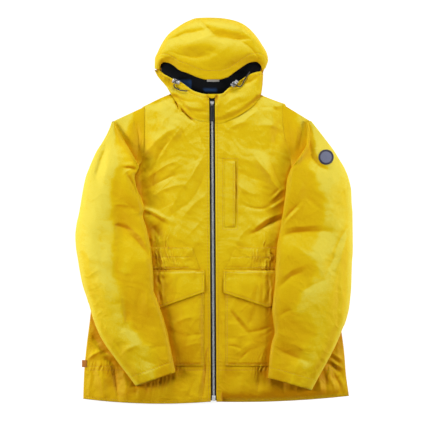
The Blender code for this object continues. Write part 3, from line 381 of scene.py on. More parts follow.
SLEEVE_CREASES = {
    "left": [
        (-264, 150, -284, 86, 2, -5.0, 12, 6), (-250, 152, -262, 80, 2, 3.0, 7, 12),
        (-196, 120, -178, 10, 0, 3.6, 8, 60), (-213, 104, -178, 97, 2, -6.0, 3, 12),
        (-206, 84, -184, 42, 2, -5.5, 10, 4), (-240, 16, -206, 14, 3, 1.6, 8, 4),
        (-240, -22, -236, -98, 0, 2.6, 7, 34), (-238, -34, -200, -44, 3, -3.4, 4, 22),
        (-202, -53, -154, -110, 3, -3.0, 5, 12), (-200, -40, -158, -88, 3, 1.6, 8, 5),
        (-254, -90, -226, -220, -4, 3.4, 12, 34), (-230, -190, -202, -318, -3, 4.0, 8, 34),
        (-214, -96, -204, -186, 2, -1.0, 9, 8), (-216, -340, -180, -320, 4, 1.6, 7, 7),
        (-196, -332, -182, -414, 2, 1.1, 4, 5), (-184, -338, -172, -404, 2, -0.9, 4, 4),
        (-168, -360, -132, -372, 2, -1.2, 6, 7), (-176, -150, -156, -236, 3, 1.2, 8, 9),
        (-288, -176, -262, -260, 3, -1.3, 8, 8), (-306, -90, -296, -160, 2, 1.2, 9, 9),
        (-244, -310, -218, -350, 2, -1.2, 6, 7), (-214, 24, -184, -10, 3, -1.4, 8, 8),
        (-300, 60, -312, 0, 2, 1.2, 8, 9), (-196, 74, -184, 40, 2, -2.0, 6, 5),
        (-216, 88, -196, 100, 2, 1.6, 5, 6), (-150, -330, -110, -326, 3, -0.9, 6, 6),
    ],
    "right": [
        (227, 168, 233, 138, 0, -4.0, 6, 4), (233, 138, 250, 112, -2, -4.4, 6, 5),
        (250, 112, 276, 97, -3, -3.6, 5, 6), (243, 146, 262, 118, -2, 2.4, 8, 5),
        (214, 122, 240, 96, -3, 1.8, 6, 10), (164, -28, 200, 14, 3, -3.2, 5, 4),
        (172, -30, 206, 8, 3, 1.8, 5, 6), (168, -58, 254, -48, 3, -2.6, 7, 9),
        (254, -48, 290, -54, 1, -1.8, 8, 9), (176, -42, 250, -34, 3, 1.4, 9, 6),
        (315, -48, 278, -138, -4, -2.8, 6, 6), (322, -60, 300, -130, -3, 1.5, 7, 6),
        (160, -180, 208, -147, 3, -2.4, 8, 8), (164, -160, 214, -130, 3, 1.3, 9, 7),
        (214, -192, 270, -166, 3, -1.2, 9, 9), (302, -118, 296, -286, -2, -1.7, 6, 6),
        (312, -170, 308, -262, -2, 1.1, 6, 5), (158, -252, 186, -238, 2, -1.4, 6, 6),
        (152, -330, 230, -362, -4, -2.2, 9, 11), (170, -312, 236, -330, -3, 1.2, 10, 8),
        (318, 92, 326, 40, -2, -1.2, 4, 4), (214, 42, 276, -6, -5, -1.3, 14, 12),
        (270, 56, 288, 0, -3, 1.2, 12, 12), (184, 84, 178, 44, 0, -1.2, 5, 5),
        (170, 90, 200, 108, -3, 1.3, 6, 6), (228, -214, 262, -240, 2, 1.0, 10, 9),
        (242, -330, 262, -368, 0, -1.2, 6, 6), (196, -390, 208, -356, 2, 0.9, 6, 6),
        (150, -290, 176, -304, 2, 1.1, 6, 6),
    ],
}
CAP_CREASES = {
    "left": [
        (-190, 214, -176, 130, 3, -1.6, 9, 6), (-214, 204, -184, 128, -2, 1.4, 8, 6),
        (-184, 200, -176, 118, 0, -3.2, 9, 12),
    ],
    "right": [
        (180, 214, 186, 150, -2, -1.6, 6, 8), (198, 206, 196, 150, 0, 1.2, 7, 7),
        (212, 200, 206, 150, 0, -2.0, 5, 6),
    ],
}
HOOD_CREASES = [
    (-38, 464, 9, 417, -2, -4.6, 14, 2.4), (7, 417, 82, 415, -3, -5.0, 15, 2.4),
    (62, 411, 104, 370, 5, -3.4, 6, 4), (66, 440, 70, 424, 0, -2.2, 4, 4),
    (84, 424, 96, 404, 2, 1.8, 6, 5), (-108, 414, -26, 436, 2, -3.8, 7, 9),
    (-97, 383, -20, 374, -9, -3.0, 8, 6), (-64, 402, 4, 424, 4, 2.6, 9, 12),
    (-30, 360, 40, 398, -5, 1.4, 14, 12), (-112, 386, -84, 380, 2, 1.0, 6, 6),
    (-128, 372, -92, 366, -2, -1.2, 4, 4), (-60, 350, 20, 338, -4, 1.2, 9, 6),
    (20, 350, 78, 366, -3, -1.0, 8, 8), (-20, 388, 16, 366, 2, -1.2, 8, 9),
]
COLLAR_CREASES = {
    "left": [
        (-92, 276, -36, 262, -4, -1.6, 5, 6), (-82, 262, -30, 246, -3, 1.4, 5, 6),
        (-60, 246, -20, 238, -2, -1.2, 4, 5), (-44, 276, -14, 254, 0, 1.0, 5, 5),
        (-104, 306, -84, 284, 2, -1.2, 4, 4), (-90, 266, -79, 250, 0, -2.4, 5, 2),
        (-74, 250, -63, 238, 0, -2.2, 4, 2),
    ],
    "right": [
        (9, 280, 3, 256, 1, -2.4, 3, 3), (15, 279, 10, 250, 1, 1.6, 4, 4),
        (74, 306, 106, 324, -2, -2.6, 5, 4), (22, 250, 66, 276, 4, 1.8, 8, 7),
        (30, 240, 84, 268, 4, -1.3, 6, 6), (20, 232, 60, 246, 2, 1.2, 5, 5),
        (96, 300, 106, 276, 0, 1.1, 6, 6), (24, 272, 44, 286, 2, -1.0, 4, 4),
    ],
}
POCKET_CREASES = {
    "left": [
        (-150, -240, -110, -262, -3, -1.8, 6, 9), (-96, -270, -48, -252, 3, 1.4, 8, 8),
        (-70, -300, -32, -296, 2, -1.0, 4, 4), (-70, -326, -34, -318, 2, 0.9, 5, 5),
        (-112, -236, -126, -362, 4, -2.2, 14, 14), (-60, -240, -80, -330, 4, 1.6, 16, 14),
    ],
    "right": [
        (40, -242, 79, -290, 2, -2.2, 4, 4), (50, -240, 88, -284, 2, 1.4, 6, 5),
        (79, -291, 136, -276, -2, -1.8, 4, 5), (36, -322, 63, -331, 1, -1.5, 2.5, 2.5),
        (62, -357, 84, -336, 1, -1.4, 3, 3), (100, -222, 86, -272, 2, -1.6, 7, 5),
        (124, -286, 112, -360, 3, 1.8, 14, 10),
    ],
}
FLAP_CREASES = {
    "left": [
        (-128, -144, -124, -206, 3, -2.2, 8, 6), (-104, -144, -100, -190, 2, 1.0, 6, 6),
        (-150, -146, -146, -210, 2, 1.4, 6, 7),
    ],
    "right": [
        (124, -144, 130, -206, 2, -1.8, 5, 7), (142, -146, 140, -210, 2, 1.4, 5, 5),
        (60, -150, 72, -196, 2, 0.8, 9, 9),
    ],
}
# Where cloth is gathered: middle, half width, lower and upper end, spacing and height of the folds
Gather = namedtuple("Gather", "x half_width low high pitch height")
FRONT_GATHERS = {
    "left": [
        (-130, 28, -165, -70, 9.0, 2.6), (-100, 20, -392, -352, 7.5, 1.8),
        (-268, 34, -396, -360, 8.0, 1.4),
    ],
    "right": [
        (136, 26, -165, -64, 9.0, 2.6), (110, 22, -400, -356, 7.5, 1.8), (286, 30, -400, -364, 7.5, 1.4),
    ],
}
TRIM_GATHERS = {
    "left": [
        (-130, 36, -156, -88, 8.0, 3.0), (-136, 24, -250, -140, 13.0, 3.0),
        (-97, 22, -390, -346, 7.0, 1.6),
    ],
    "right": [
        (130, 36, -156, -88, 8.0, 2.8), (138, 24, -250, -140, 13.0, 2.8), (113, 20, -390, -346, 7.0, 1.6),
    ],
}

# Stage, in metres: each light's name, place and size
LIGHTS = [
    ("left", (-1.75, -0.05, 1.0), (0.6, 0.9)),
    ("right", (1.75, -0.05, 1.0), (0.6, 0.9)),
    ("top", (0.0, 1.9, 0.92), (1.0, 0.4)),
]
CAMERA_PLACE = (0.0024, -0.0089, 2.0)       # over the middle of the photo
FLOOR_SIZE = 6.0
FLOOR_Z = -0.0002


def linear(code):
    """An sRGB hex colour as the linear values that shaders take."""
    values = [int(code[i:i + 2], 16) / 255 for i in (1, 3, 5)]
    return tuple(v / 12.92 if v <= 0.04045 else ((v + 0.055) / 1.055) ** 2.4 for v in values)


def length_setting(name, description, default, low, high):
    return FloatProperty(
        name=name, description=description, default=default * MM, min=low * MM, max=high * MM,
        precision=5, subtype="DISTANCE", unit="LENGTH",
    )


def power_setting(name, default):
    note = f"Power of the soft {name.lower()}"
    return FloatProperty(name=name, description=note, default=default, unit="POWER")


def colour_setting(name, description, code):
    return FloatVectorProperty(
        name=name, description=description, default=linear(code), min=0, max=1, subtype="COLOR"
    )


class ParkaClothSettings(bpy.types.PropertyGroup):
    """Sizes of the cloth and its sewing."""

    shell: length_setting("Shell", "Thickness of the shell cloth with its facing", 1.7, 0.5, 3)
    crumple: length_setting("Crumple", "Height of the crumples all over the cloth", 1.4, 0, 3)
    pucker: length_setting("Pucker", "Height of the small waves along the sewing", 0.3, 0, 2)
    roll: length_setting("Rolled edge", "How far free edges round down", 0.7, 0, 2)


class ParkaColourSettings(bpy.types.PropertyGroup):
    """Colours of the cloth and trim."""

    shell: colour_setting("Shell", "Mustard yellow of the shell cloth", "#E5CB10")
    # painted light and shade: the shell turns to this lit yellow where it faces the lights, and to the shaded
    # orange below in painted shade
    shell_light: colour_setting("Shell, light", "The same yellow where it faces the light", "#E2CE47")
    shell_deep: colour_setting("Shell, deep", "The same yellow inside folds", "#CC8900")
    # the lining is navy, painted near black for the shade inside the hood, and painted bluer where light
    # falls on it
    lining: colour_setting("Lining", "Navy of the hood's lining", "#04060B")
    lining_light: colour_setting("Lining, light", "The lining's bluer patches", "#22406B")
    thread: colour_setting("Thread", "Topstitching thread", "#BE8B08")
    tape: colour_setting("Zip tape", "Black woven tape", "#08080A")
    coil: colour_setting("Zip coil", "Light grey coil", "#E6E8E8")
    pull: colour_setting("Zip pull", "Dark grey moulded pull tab", "#272930")
    badge_rim: colour_setting("Badge rim", "Dark rim of the badge", "#35313F")
    badge: colour_setting("Badge", "Slate middle of the badge", "#6B6F88")
    label_tan: colour_setting("Side label", "Orange brown woven tab", "#C27618")
    label_grey: colour_setting("Hood label", "Light grey woven label", "#B9B5AC")
    cord: colour_setting("Cord", "Black braided cord", "#1B1714")
    lock: colour_setting("Cord lock", "Pale moulding of the cord locks", "#E4E4E6")


class ParkaStageSettings(bpy.types.PropertyGroup):
    """Light and camera."""

    left_power: power_setting("Left light", 32.0)
    right_power: power_setting("Right light", 26.0)
    top_power: power_setting("Light past the hood", 24.0)
    sky: FloatProperty(name="Sky", description="Brightness of the even light from all round", default=0.12)
    view_width: length_setting("View width", "Width that the camera takes in", 1032, 500, 2000)


def cloth_settings():
    return bpy.context.scene.parka_cloth


def colours():
    return bpy.context.scene.parka_colours


# Shape


def smooth_step(share):
    share = np.clip(share, 0.0, 1.0)
    return share * share * (3 - 2 * share)


def smooth_through(keys, values, at):
    """A cubic curve through the values that never runs past them."""
    keys = np.asarray(keys, float)
    values = np.asarray(values, float)
    slopes = np.diff(values) / np.diff(keys)
    tangents = np.zeros_like(values)
    product = slopes[1:] * slopes[:-1]
    level = product > 0
    tangents[1:-1][level] = 2 * product[level] / (slopes[1:] + slopes[:-1])[level]
    tangents[0] = slopes[0]
    tangents[-1] = slopes[-1]
    index = np.clip(np.searchsorted(keys, at, side="right") - 1, 0, len(slopes) - 1)
    run = np.diff(keys)[index]
    t = (at - keys[index]) / run
    start = (1 + 2 * t) * (1 - t) ** 2 * values[index] + t * (1 - t) ** 2 * run * tangents[index]
    end = t * t * (3 - 2 * t) * values[index + 1] - t * t * (1 - t) * run * tangents[index + 1]
    return start + end


def zip_x(y):
    """Where the middle of the zip lies across the parka."""
    share = (ZIP_TOP_Y - y) / (ZIP_TOP_Y - ZIP_BOTTOM_Y)
    return ZIP_TOP_X + share * (ZIP_BOTTOM_X - ZIP_TOP_X)


def on_zip(sections, side):
    """The sections with the edge of the zip put in where the table says ZIP."""
    half = ZIP_GAP / 2 if side == "right" else -ZIP_GAP / 2
    return [
        (zip_x(ay) + half if ax is ZIP else ax, ay, zip_x(by) + half if bx is ZIP else bx, by)
        for ax, ay, bx, by in sections
    ]


def least(*distances):
    return np.minimum.reduce(distances)


def upright(left, right, bottom, top):
    return [(left, bottom, right, bottom), (left, top, right, top)]


def lengths_along(x, y, axis):
    """How far each point is along its row or column, in millimetres."""
    steps = np.hypot(np.diff(x, axis=axis), np.diff(y, axis=axis))
    start = np.zeros_like(np.take(x, [0], axis=axis))
    return np.concatenate([start, np.cumsum(steps, axis=axis)], axis=axis)


class Net:
    """Rows of points between two edges: v runs along the table's sections, u from edge a to b."""

    def __init__(self, sections, pitch=FINE, straight=False, crowd_edges=False):
        table = np.array(sections, float)
        steps = np.hypot(*np.diff(table.reshape(-1, 2, 2).mean(axis=1), axis=0).T)
        keys = np.concatenate([[0.0], np.cumsum(steps)]) / steps.sum()
        share = [0.0]
        for key, step in zip(keys[1:], steps):
            share.extend(np.linspace(share[-1], key, max(1, round(step / pitch)) + 1)[1:])
        share = np.array(share)
        if straight:
            ax, ay, bx, by = (np.interp(share, keys, column) for column in table.T)
        else:
            ax, ay, bx, by = (smooth_through(keys, column, share) for column in table.T)
        widest = np.hypot(bx - ax, by - ay).max()
        u = np.linspace(0.0, 1.0, max(4, round(widest / pitch)) + 1)
        if crowd_edges:
            u = (1 - np.cos(math.pi * u)) / 2
        self.pitch = pitch
        self.v, self.u = np.meshgrid(share, u, indexing="ij")
        self.x = ax[:, None] + (bx - ax)[:, None] * u
        self.y = ay[:, None] + (by - ay)[:, None] * u
        self.measure()

    def measure(self):
        """Distances in millimetres from each of the four edges."""
        self.from_a = lengths_along(self.x, self.y, 1)
        self.from_b = self.from_a[:, -1:] - self.from_a
        self.from_first = lengths_along(self.x, self.y, 0)
        self.from_last = self.from_first[-1:] - self.from_first

    def bow_hem(self, bow):
        fade = np.clip(1 - self.v / HEM_BOW_SHARE, 0.0, 1.0)
        self.y += bow * 4 * self.u * (1 - self.u) * fade
        self.measure()

    def area(self):
        """Area in square metres, as it lies."""
        a = np.stack([self.x[1:, 1:] - self.x[:-1, :-1], self.y[1:, 1:] - self.y[:-1, :-1]])
        b = np.stack([self.x[1:, :-1] - self.x[:-1, 1:], self.y[1:, :-1] - self.y[:-1, 1:]])
        return float(np.abs(a[0] * b[1] - a[1] * b[0]).sum() / 2) * MM * MM

    def line(self, edge, distance, start=0.0, end=1.0):
        """Points at this distance in from an edge: a, b, first or last."""
        measure = getattr(self, "from_" + edge)
        points = []
        lines = measure if edge in ("a", "b") else measure.T
        xs, ys = (self.x, self.y) if edge in ("a", "b") else (self.x.T, self.y.T)
        for gap, x, y in zip(lines, xs, ys):
            order = np.argsort(gap)
            if gap.max() >= distance:
                points.append([np.interp(distance, gap[order], row[order]) for row in (x, y)])
        low = int(start * (len(points) - 1))
        high = int(end * (len(points) - 1)) + 1
        return points[low:high]


class Lattice:
    """Smooth noise over the plane, the same each time for one seed."""

    def __init__(self, seed):
        self.values = np.random.default_rng(seed).uniform(-1.0, 1.0, (97, 89))

    def corners(self, x, y, size):
        """Where each point lies in its cell, and the values at the cell's corners."""
        p, q = x / size + 31.7, y / size + 17.3
        i, j = np.floor(p).astype(int), np.floor(q).astype(int)
        rows, columns = self.values.shape
        ways = ((0, 0), (1, 0), (0, 1), (1, 1))
        return p - i, q - j, *(self.values[(i + a) % rows, (j + b) % columns] for a, b in ways)

    def __call__(self, x, y, size):
        s, t, a, b, c, d = self.corners(x, y, size)
        s, t = smooth_step(s), smooth_step(t)
        return (a * (1 - s) + b * s) * (1 - t) + (c * (1 - s) + d * s) * t

    def facets(self, x, y, size):
        """The same noise as flat triangles, which meet in straight bends."""
        s, t, a, b, c, d = self.corners(x, y, size)
        near = a + s * (b - a) + t * (c - a)
        far = d + (1 - s) * (c - d) + (1 - t) * (b - d)
        return np.where(s + t < 1, near, far)


NOISE = Lattice(3)
OTHER_NOISE = Lattice(8)


def crumpled(net):
    """Crisp crumples as a share of their height: level facets that meet in sharp bends."""
    x, y = net.x, net.y
    wander_x = x + 11 * OTHER_NOISE(x, y, 58) + 3 * NOISE(x, y, 23)
    wander_y = y + 11 * OTHER_NOISE(y, x, 51) + 3 * NOISE(y, x, 21)
    broad = NOISE.facets(0.9 * wander_x + 0.44 * wander_y, 0.7 * wander_y - 0.4 * wander_x, 56)
    narrow = OTHER_NOISE.facets(0.8 * wander_x - 0.6 * wander_y, 0.5 * wander_y + 0.8 * wander_x, 27)
    small = NOISE.facets(wander_x + 0.5 * wander_y, 0.9 * wander_y - 0.3 * wander_x, 13)
    return 1.5 * broad + 0.95 * narrow + 0.4 * small


def creased(net, creases):
    """Ridges and troughs along bowed lines, each steeper on the side where its reach is shorter."""
    total = np.zeros_like(net.x)
    x = net.x + CREASE_WANDER * NOISE(net.x, net.y, CREASE_WANDER_SIZE)
    y = net.y + CREASE_WANDER * OTHER_NOISE(x, net.y, CREASE_WANDER_SIZE)
    for crease in map(Crease._make, creases):
        run_x = crease.x1 - crease.x0
        run_y = crease.y1 - crease.y0
        length = math.hypot(run_x, run_y)
        along = ((x - crease.x0) * run_x + (y - crease.y0) * run_y) / length
        beside = ((y - crease.y0) * run_x - (x - crease.x0) * run_y) / length
        share = np.clip(along / length, 0.0, 1.0)
        beside = beside - crease.bow * 4 * share * (1 - share)
        reach = np.where(beside > 0, crease.left, crease.right)
        beyond = (along - share * length) / (4 + 0.12 * length)
        swell = 0.35 + 0.65 * np.sin(math.pi * share) ** 0.7
        total += crease.height * swell * np.exp(-np.abs(beside / reach) ** CREST - beyond ** 2)
    return CREASE_DEPTH * total


def short_creases(net, seed, count, lean, height=1.0):
    """Short sharp creases strewn over a piece, most of them leaning this many degrees from +X."""
    rng = np.random.default_rng(seed)
    strewn = []
    for _ in range(count):
        i = rng.integers(net.x.shape[0])
        j = rng.integers(net.x.shape[1])
        turn = math.radians(lean + rng.normal(0, 26))
        half = rng.uniform(8, 30)
        x, y = net.x[i, j], net.y[i, j]
        reach = (rng.uniform(2, 4.5), rng.uniform(5, 13))
        left, right = reach if rng.random() < 0.5 else reach[::-1]
        run_x, run_y = half * math.cos(turn), half * math.sin(turn)
        rise = height * rng.uniform(0.35, 1.0) * rng.choice([-1, 1])
        strewn.append((x - run_x, y - run_y, x + run_x, y + run_y, rng.uniform(-3, 3), rise, left, right))
    return creased(net, strewn)


def two_waves(along, broad, narrow):
    return np.sin(2 * math.pi * along / broad) + 0.6 * np.sin(2 * math.pi * along / narrow)


def gathered(net, gathers):
    """Upright folds drawn together by elastic or sewing, uneven in spacing and height."""
    x, y = net.x, net.y
    total = np.zeros_like(x)
    for gather in map(Gather._make, gathers):
        middle = (gather.low + gather.high) / 2
        half_height = (gather.high - gather.low) / 2
        ragged = y + 0.35 * half_height * OTHER_NOISE(x, 0 * y, 6)
        fade = np.exp(-np.abs((x - gather.x) / gather.half_width) ** 3)
        fade = fade * np.exp(-np.abs((ragged - middle) / half_height) ** 3)
        drift = x + 5.0 * NOISE(x, y, 30) + 3.0 * OTHER_NOISE(x, y, 13)
        wave = two_waves(drift, gather.pitch, 0.63 * gather.pitch)
        total += gather.height * fade * wave * (0.55 + 0.75 * NOISE(x, y / 2.2, 9))
    return total


def sewn(distance, along):
    """The groove of a line of stitches, and the small waves that it draws into the cloth."""
    height = cloth_settings().pucker / MM
    drift = along + 2.5 * NOISE(along, distance, 19)
    waves = two_waves(drift, *PUCKER_PITCHES)
    spread = np.exp(-np.abs(distance) / PUCKER_REACH) * (0.55 + 0.45 * OTHER_NOISE(along, distance, 24))
    return height * waves * spread - GROOVE_DEPTH * np.exp(-((distance / GROOVE_REACH) ** 2))


def hemmed(from_edge, along, width):
    """A hem turned under: thicker out to its stitches, which lie this far from the edge."""
    thicker = 0.35 * smooth_step((width - from_edge) / 2.5)
    return thicker + sewn(from_edge - width, along)


def rolled(*distances):
    """How far cloth rounds down at its free edges."""
    drop = cloth_settings().roll / MM
    return -sum(drop * np.exp(-((distance / ROLL_REACH) ** 2)) for distance in distances)


class Solid:
    """The upper side of one of the model's solids, to read heights from."""

    def __init__(self, node):
        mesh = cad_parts[node].data
        points = [vert.co[:] for vert in mesh.vertices]
        faces = [face.vertices[:] for face in mesh.polygons]
        self.tree = BVHTree.FromPolygons(points, faces)

    def top(self, x, y):
        heights = np.full(x.shape, np.nan)
        for index in np.ndindex(x.shape):
            hit = self.tree.ray_cast(Vector((x[index] * MM, y[index] * MM, ABOVE)), DOWN)[0]
            if hit is not None:
                heights[index] = hit.z / MM
        return filled(heights)


def filled(heights):
    """Heights carried on past the solid's edge, along the rows and then along the columns."""
    for grid in (heights, heights.T):
        for row in grid:
            known = np.flatnonzero(~np.isnan(row))
            if 0 < len(known) < len(row):
                row[:] = np.interp(np.arange(len(row)), known, row[known])
    return heights


def evened(heights, along, across):
    """Heights with the facets of a coarse solid smoothed out, by reaches in rows and columns."""
    for axis, reach in ((0, along), (1, across)):
        half = min(int(3 * reach) + 1, heights.shape[axis] - 1)
        kernel = np.exp(-0.5 * (np.arange(-half, half + 1) / max(reach, 0.3)) ** 2)
        kernel /= kernel.sum()
        border = [(0, 0), (0, 0)]
        border[axis] = (half, half)
        padded = np.pad(heights, border, mode="reflect", reflect_type="odd")
        heights = np.apply_along_axis(np.convolve, axis, padded, kernel, mode="valid")
    return heights


class Layers:
    """The height of everything laid so far, over a square net of cells."""

    def __init__(self):
        self.xs = np.arange(-LAYERS_X, LAYERS_X + 1, CELL)
        self.ys = np.arange(-LAYERS_Y, LAYERS_Y + 1, CELL)
        self.top = np.zeros((len(self.ys), len(self.xs)))
        self.trees = {}
        self.nets = {}
        self.pieces = []

    def cells(self, x, y):
        i = np.clip(np.round((y - self.ys[0]) / CELL).astype(int), 0, len(self.ys) - 1)
        j = np.clip(np.round((x - self.xs[0]) / CELL).astype(int), 0, len(self.xs) - 1)
        return i, j

    def at(self, x, y):
        return self.top[self.cells(x, y)]

    def add(self, x, y, z):
        i, j = self.cells(x, y)
        np.maximum.at(self.top, (i.ravel(), j.ravel()), z.ravel())

    def under(self, x, y, top=None):
        """The height that cloth over these points has to clear."""
        padded = np.pad(self.top if top is None else top, 1, mode="edge")
        rows, columns = self.top.shape
        sheet = np.max([padded[a:a + rows, b:b + columns] for a in range(3) for b in range(3)], axis=0)
        return sheet[self.cells(x, y)]

    def on(self, piece, x, y):
        """Where a point lies on a piece of cloth, and which way is out, in metres."""
        place, normal = self.trees[piece].ray_cast(Vector((x * MM, y * MM, ABOVE)), DOWN)[:2]
        if place is None:
            place, normal = self.trees[piece].find_nearest(Vector((x, y, 15.0)) * MM)[:2]
        return place, normal if normal.z > 0 else -normal


layers = Layers()


def put(name, data):
    obj = bpy.data.objects.new(name, data)
    bpy.context.scene.collection.objects.link(obj)
    return obj


def new_object(name, data, body, slot, *looks):
    """A piece in these looks that rides on this body."""
    for look in looks:
        data.materials.append(material(look))
    obj = put(name, data)
    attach(obj, body)
    return obj


def mesh_of(name, points, faces):
    mesh = bpy.data.meshes.new(name)
    mesh.from_pydata(points.tolist() if hasattr(points, "tolist") else points, [], faces)
    mesh.shade_smooth()
    mesh.update()
    return mesh


def smooth_mesh(name, work):
    mesh = bpy.data.meshes.new(name)
    work.to_mesh(mesh)
    work.free()
    mesh.shade_smooth()
    return mesh


def quads(rows, columns, flip):
    """The faces of a net of points, counted row by row."""
    index = np.arange(rows * columns).reshape(rows, columns)
    faces = np.stack([index[:-1, :-1], index[:-1, 1:], index[1:, 1:], index[1:, :-1]], axis=-1)
    faces = faces.reshape(-1, 4)
    return faces[:, ::-1] if flip else faces


def ring_faces(rings, sides, start=0):
    """The faces of a tube of rings of points, with its two ends closed."""
    index = start + np.arange(rings * sides).reshape(rings, sides)
    after = np.roll(index, -1, axis=1)
    walls = np.stack([index[:-1], after[:-1], after[1:], index[1:]], axis=-1)
    return [*walls.reshape(-1, 4).tolist(), index[0, ::-1].tolist(), index[-1].tolist()]


def rim(rows, columns, flip):
    """The faces that join the upper net's border to the lower net's."""
    index = np.arange(rows * columns).reshape(rows, columns)
    loop = np.concatenate([index[0, :], index[1:, -1], index[-1, -2::-1], index[-2:0:-1, 0]])
    after = np.roll(loop, -1)
    below = rows * columns
    faces = np.stack([after, loop, loop + below, after + below], axis=-1)
    return faces[:, ::-1] if flip else faces


def fold_under(upper, edge, low):
    """Carries the cloth round its folded edge, a or b, down to this height."""
    upper = upper[:, ::-1] if edge == "a" else upper
    last = upper[:, -1]
    out = last[:, :2] - upper[:, -4, :2]
    out = out / np.maximum(np.linalg.norm(out, axis=1, keepdims=True), 1e-6)
    half = np.maximum((last[:, 2] - low) / 2, 0.4)[:, None]
    for angle in np.radians(FOLD_TURNS):
        ring = last.copy()
        ring[:, :2] += out * half * FOLD_OUT * math.sin(angle)
        ring[:, 2:] -= half * (1 - math.cos(angle))
        upper = np.concatenate([upper, ring[:, None]], axis=1)
    return upper[:, ::-1] if edge == "a" else upper


def lay_cloth(
    node, net, top, thickness, look="shell", slot=None, name=None, fullness=1.0, round_folds=1.0,
    keep_flat=False, folds="", below=None,
):
    """A piece of cloth with this upper side, as two nets of points and the rim between them."""
    name = name or f"{node}_cloth"
    floor = layers.under(net.x, net.y)
    top = np.maximum(top, floor + CLEAR + 0.7 * thickness) if not keep_flat else top
    upper = np.stack([net.x, net.y, top], axis=-1)
    for edge in folds:
        column = 0 if edge == "a" else -1
        low = layers.under(net.x[:, column], net.y[:, column], below) + CLEAR
        upper = fold_under(upper, edge, low)
    normal = np.cross(np.gradient(upper, axis=1), np.gradient(upper, axis=0))
    flip = normal[..., 2].sum() < 0
    normal *= -1 if flip else 1
    normal /= np.maximum(np.linalg.norm(normal, axis=-1, keepdims=True), 1e-9)
    lower = upper - normal * thickness
    if keep_flat:
        lower[..., 2] = 0.0
    else:
        first = len(FOLD_TURNS) if "a" in folds else 0
        level = lower[:, first:first + net.x.shape[1], 2]
        level[...] = np.minimum(np.maximum(level, floor + CLEAR), top - 0.25)
    layers.add(net.x, net.y, top)
    rows, columns = upper.shape[:2]
    faces = np.concatenate([
        quads(rows, columns, flip),
        quads(rows, columns, not flip) + rows * columns,
        rim(rows, columns, flip),
    ])
    points = np.concatenate([upper.reshape(-1, 3), lower.reshape(-1, 3)]) * MM
    mesh = mesh_of(name, points, faces.tolist())
    obj = new_object(name, mesh, "root", slot or look, look)
    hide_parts(node)
    area = net.area() * fullness * round_folds
    upper_faces = quads(rows, columns, flip).tolist()
    layers.trees[name] = BVHTree.FromPolygons((upper.reshape(-1, 3) * MM).tolist(), upper_faces)
    layers.nets[name] = net
    layers.pieces.append((mesh, net, top, folds))
    return obj


def deepen_folds():
    """Marks how deep the colour of every point of cloth is: closed in, turned away or low down."""
    for mesh, net, top, folds in layers.pieces:
        x, y = net.x, net.y
        points = np.stack([x, y, top], axis=-1)
        normal = np.cross(np.gradient(points, axis=1), np.gradient(points, axis=0))
        normal *= np.sign(normal[..., 2:])
        normal /= np.maximum(np.linalg.norm(normal, axis=-1, keepdims=True), 1e-9)
        tilt_x, tilt_y = (np.clip(-normal[..., k] / np.maximum(normal[..., 2], 0.2), -4, 4) for k in (0, 1))
        # painted shade where what stands round a point closes it in, as an ambient shadow would
        shut = np.zeros_like(x)
        for angle in np.linspace(0, 2 * math.pi, SHUT_WAYS, endpoint=False):
            way_x, way_y = math.cos(angle), math.sin(angle)
            slope = tilt_x * way_x + tilt_y * way_y
            steepest = np.zeros_like(x)
            for reach in SHUT_REACHES:
                height = layers.at(x + reach * way_x, y + reach * way_y)
                rise = (height - top - SHUT_STEP) / reach
                steepest = np.maximum(steepest, rise - np.maximum(slope, 0))
            shut += steepest / (1 + steepest) / SHUT_WAYS
        # painted light and shade by how squarely each point faces the three lights
        lit = sum(share * np.maximum(normal @ np.array(way), 0) for share, way in TURNED_TO)
        turned = TURNED_GAIN * (1 - lit)
        for edge, distance in (("a", net.from_a), ("b", net.from_b)):
            if edge in folds:
                turned *= smooth_step((distance - 2) / 14)
                shut *= smooth_step((distance - 2) / 8)
        if "front" in mesh.name:
            turned *= smooth_step((net.from_first - 2) / 14)
        if "under_sleeve" in mesh.name:
            shut *= 0.5
        for name, share in TURNED_SHARES.items():
            turned *= share if name in mesh.name else 1.0
        deep = SHUT_GAIN * np.maximum(shut - 0.01, 0) + turned + TONE_START
        # painted shade darker towards the hem; on the sleeves, painted light on the outer sides and painted
        # shade on the inner ones
        low = 1 - smooth_step((y + 380) / 400)
        if "sleeve" in mesh.name:
            outer = net.u if "right" in mesh.name else 1 - net.u
            outer = outer + 0.12 * crumpled(net)
            deep += SIDE_GAIN * (0.5 - smooth_step((outer - 0.36) / 0.26)) + 0.4 * LOW_GAIN * low
        else:
            deep += LOW_GAIN * low
        before, after = (len(FOLD_TURNS) if edge in folds else 0 for edge in "ab")
        deep = np.pad(deep, ((0, 0), (before, after)), mode="edge").ravel()
        tone = mesh.attributes.new("deep", "FLOAT", "POINT")
        tone.data.foreach_set("value", np.clip(np.tile(deep, 2), 0.0, 1.0).astype(np.float32))


def read_form(node, net, facet_pitch, facet_columns):
    """The heights of the solid's upper side on this net, with its facets smoothed out.

    The facets are this many millimetres long, and this many lie side by side.
    """
    heights = Solid(node).top(net.x, net.y)
    along = FACET * facet_pitch / net.pitch
    across = FACET * (net.u.shape[1] - 1) / facet_columns
    return evened(heights, along, across)


# Materials


def add_node(tree, kind, inputs=(), **settings):
    """Adds a node, sets it, and fills its sockets with values or with links from other sockets."""
    made = tree.nodes.new(kind)
    for name, value in settings.items():
        setattr(made, name, value)
    for name, value in dict(inputs).items():
        if isinstance(value, bpy.types.NodeSocket):
            tree.links.new(value, made.inputs[name])
        else:
            made.inputs[name].default_value = value
    return made


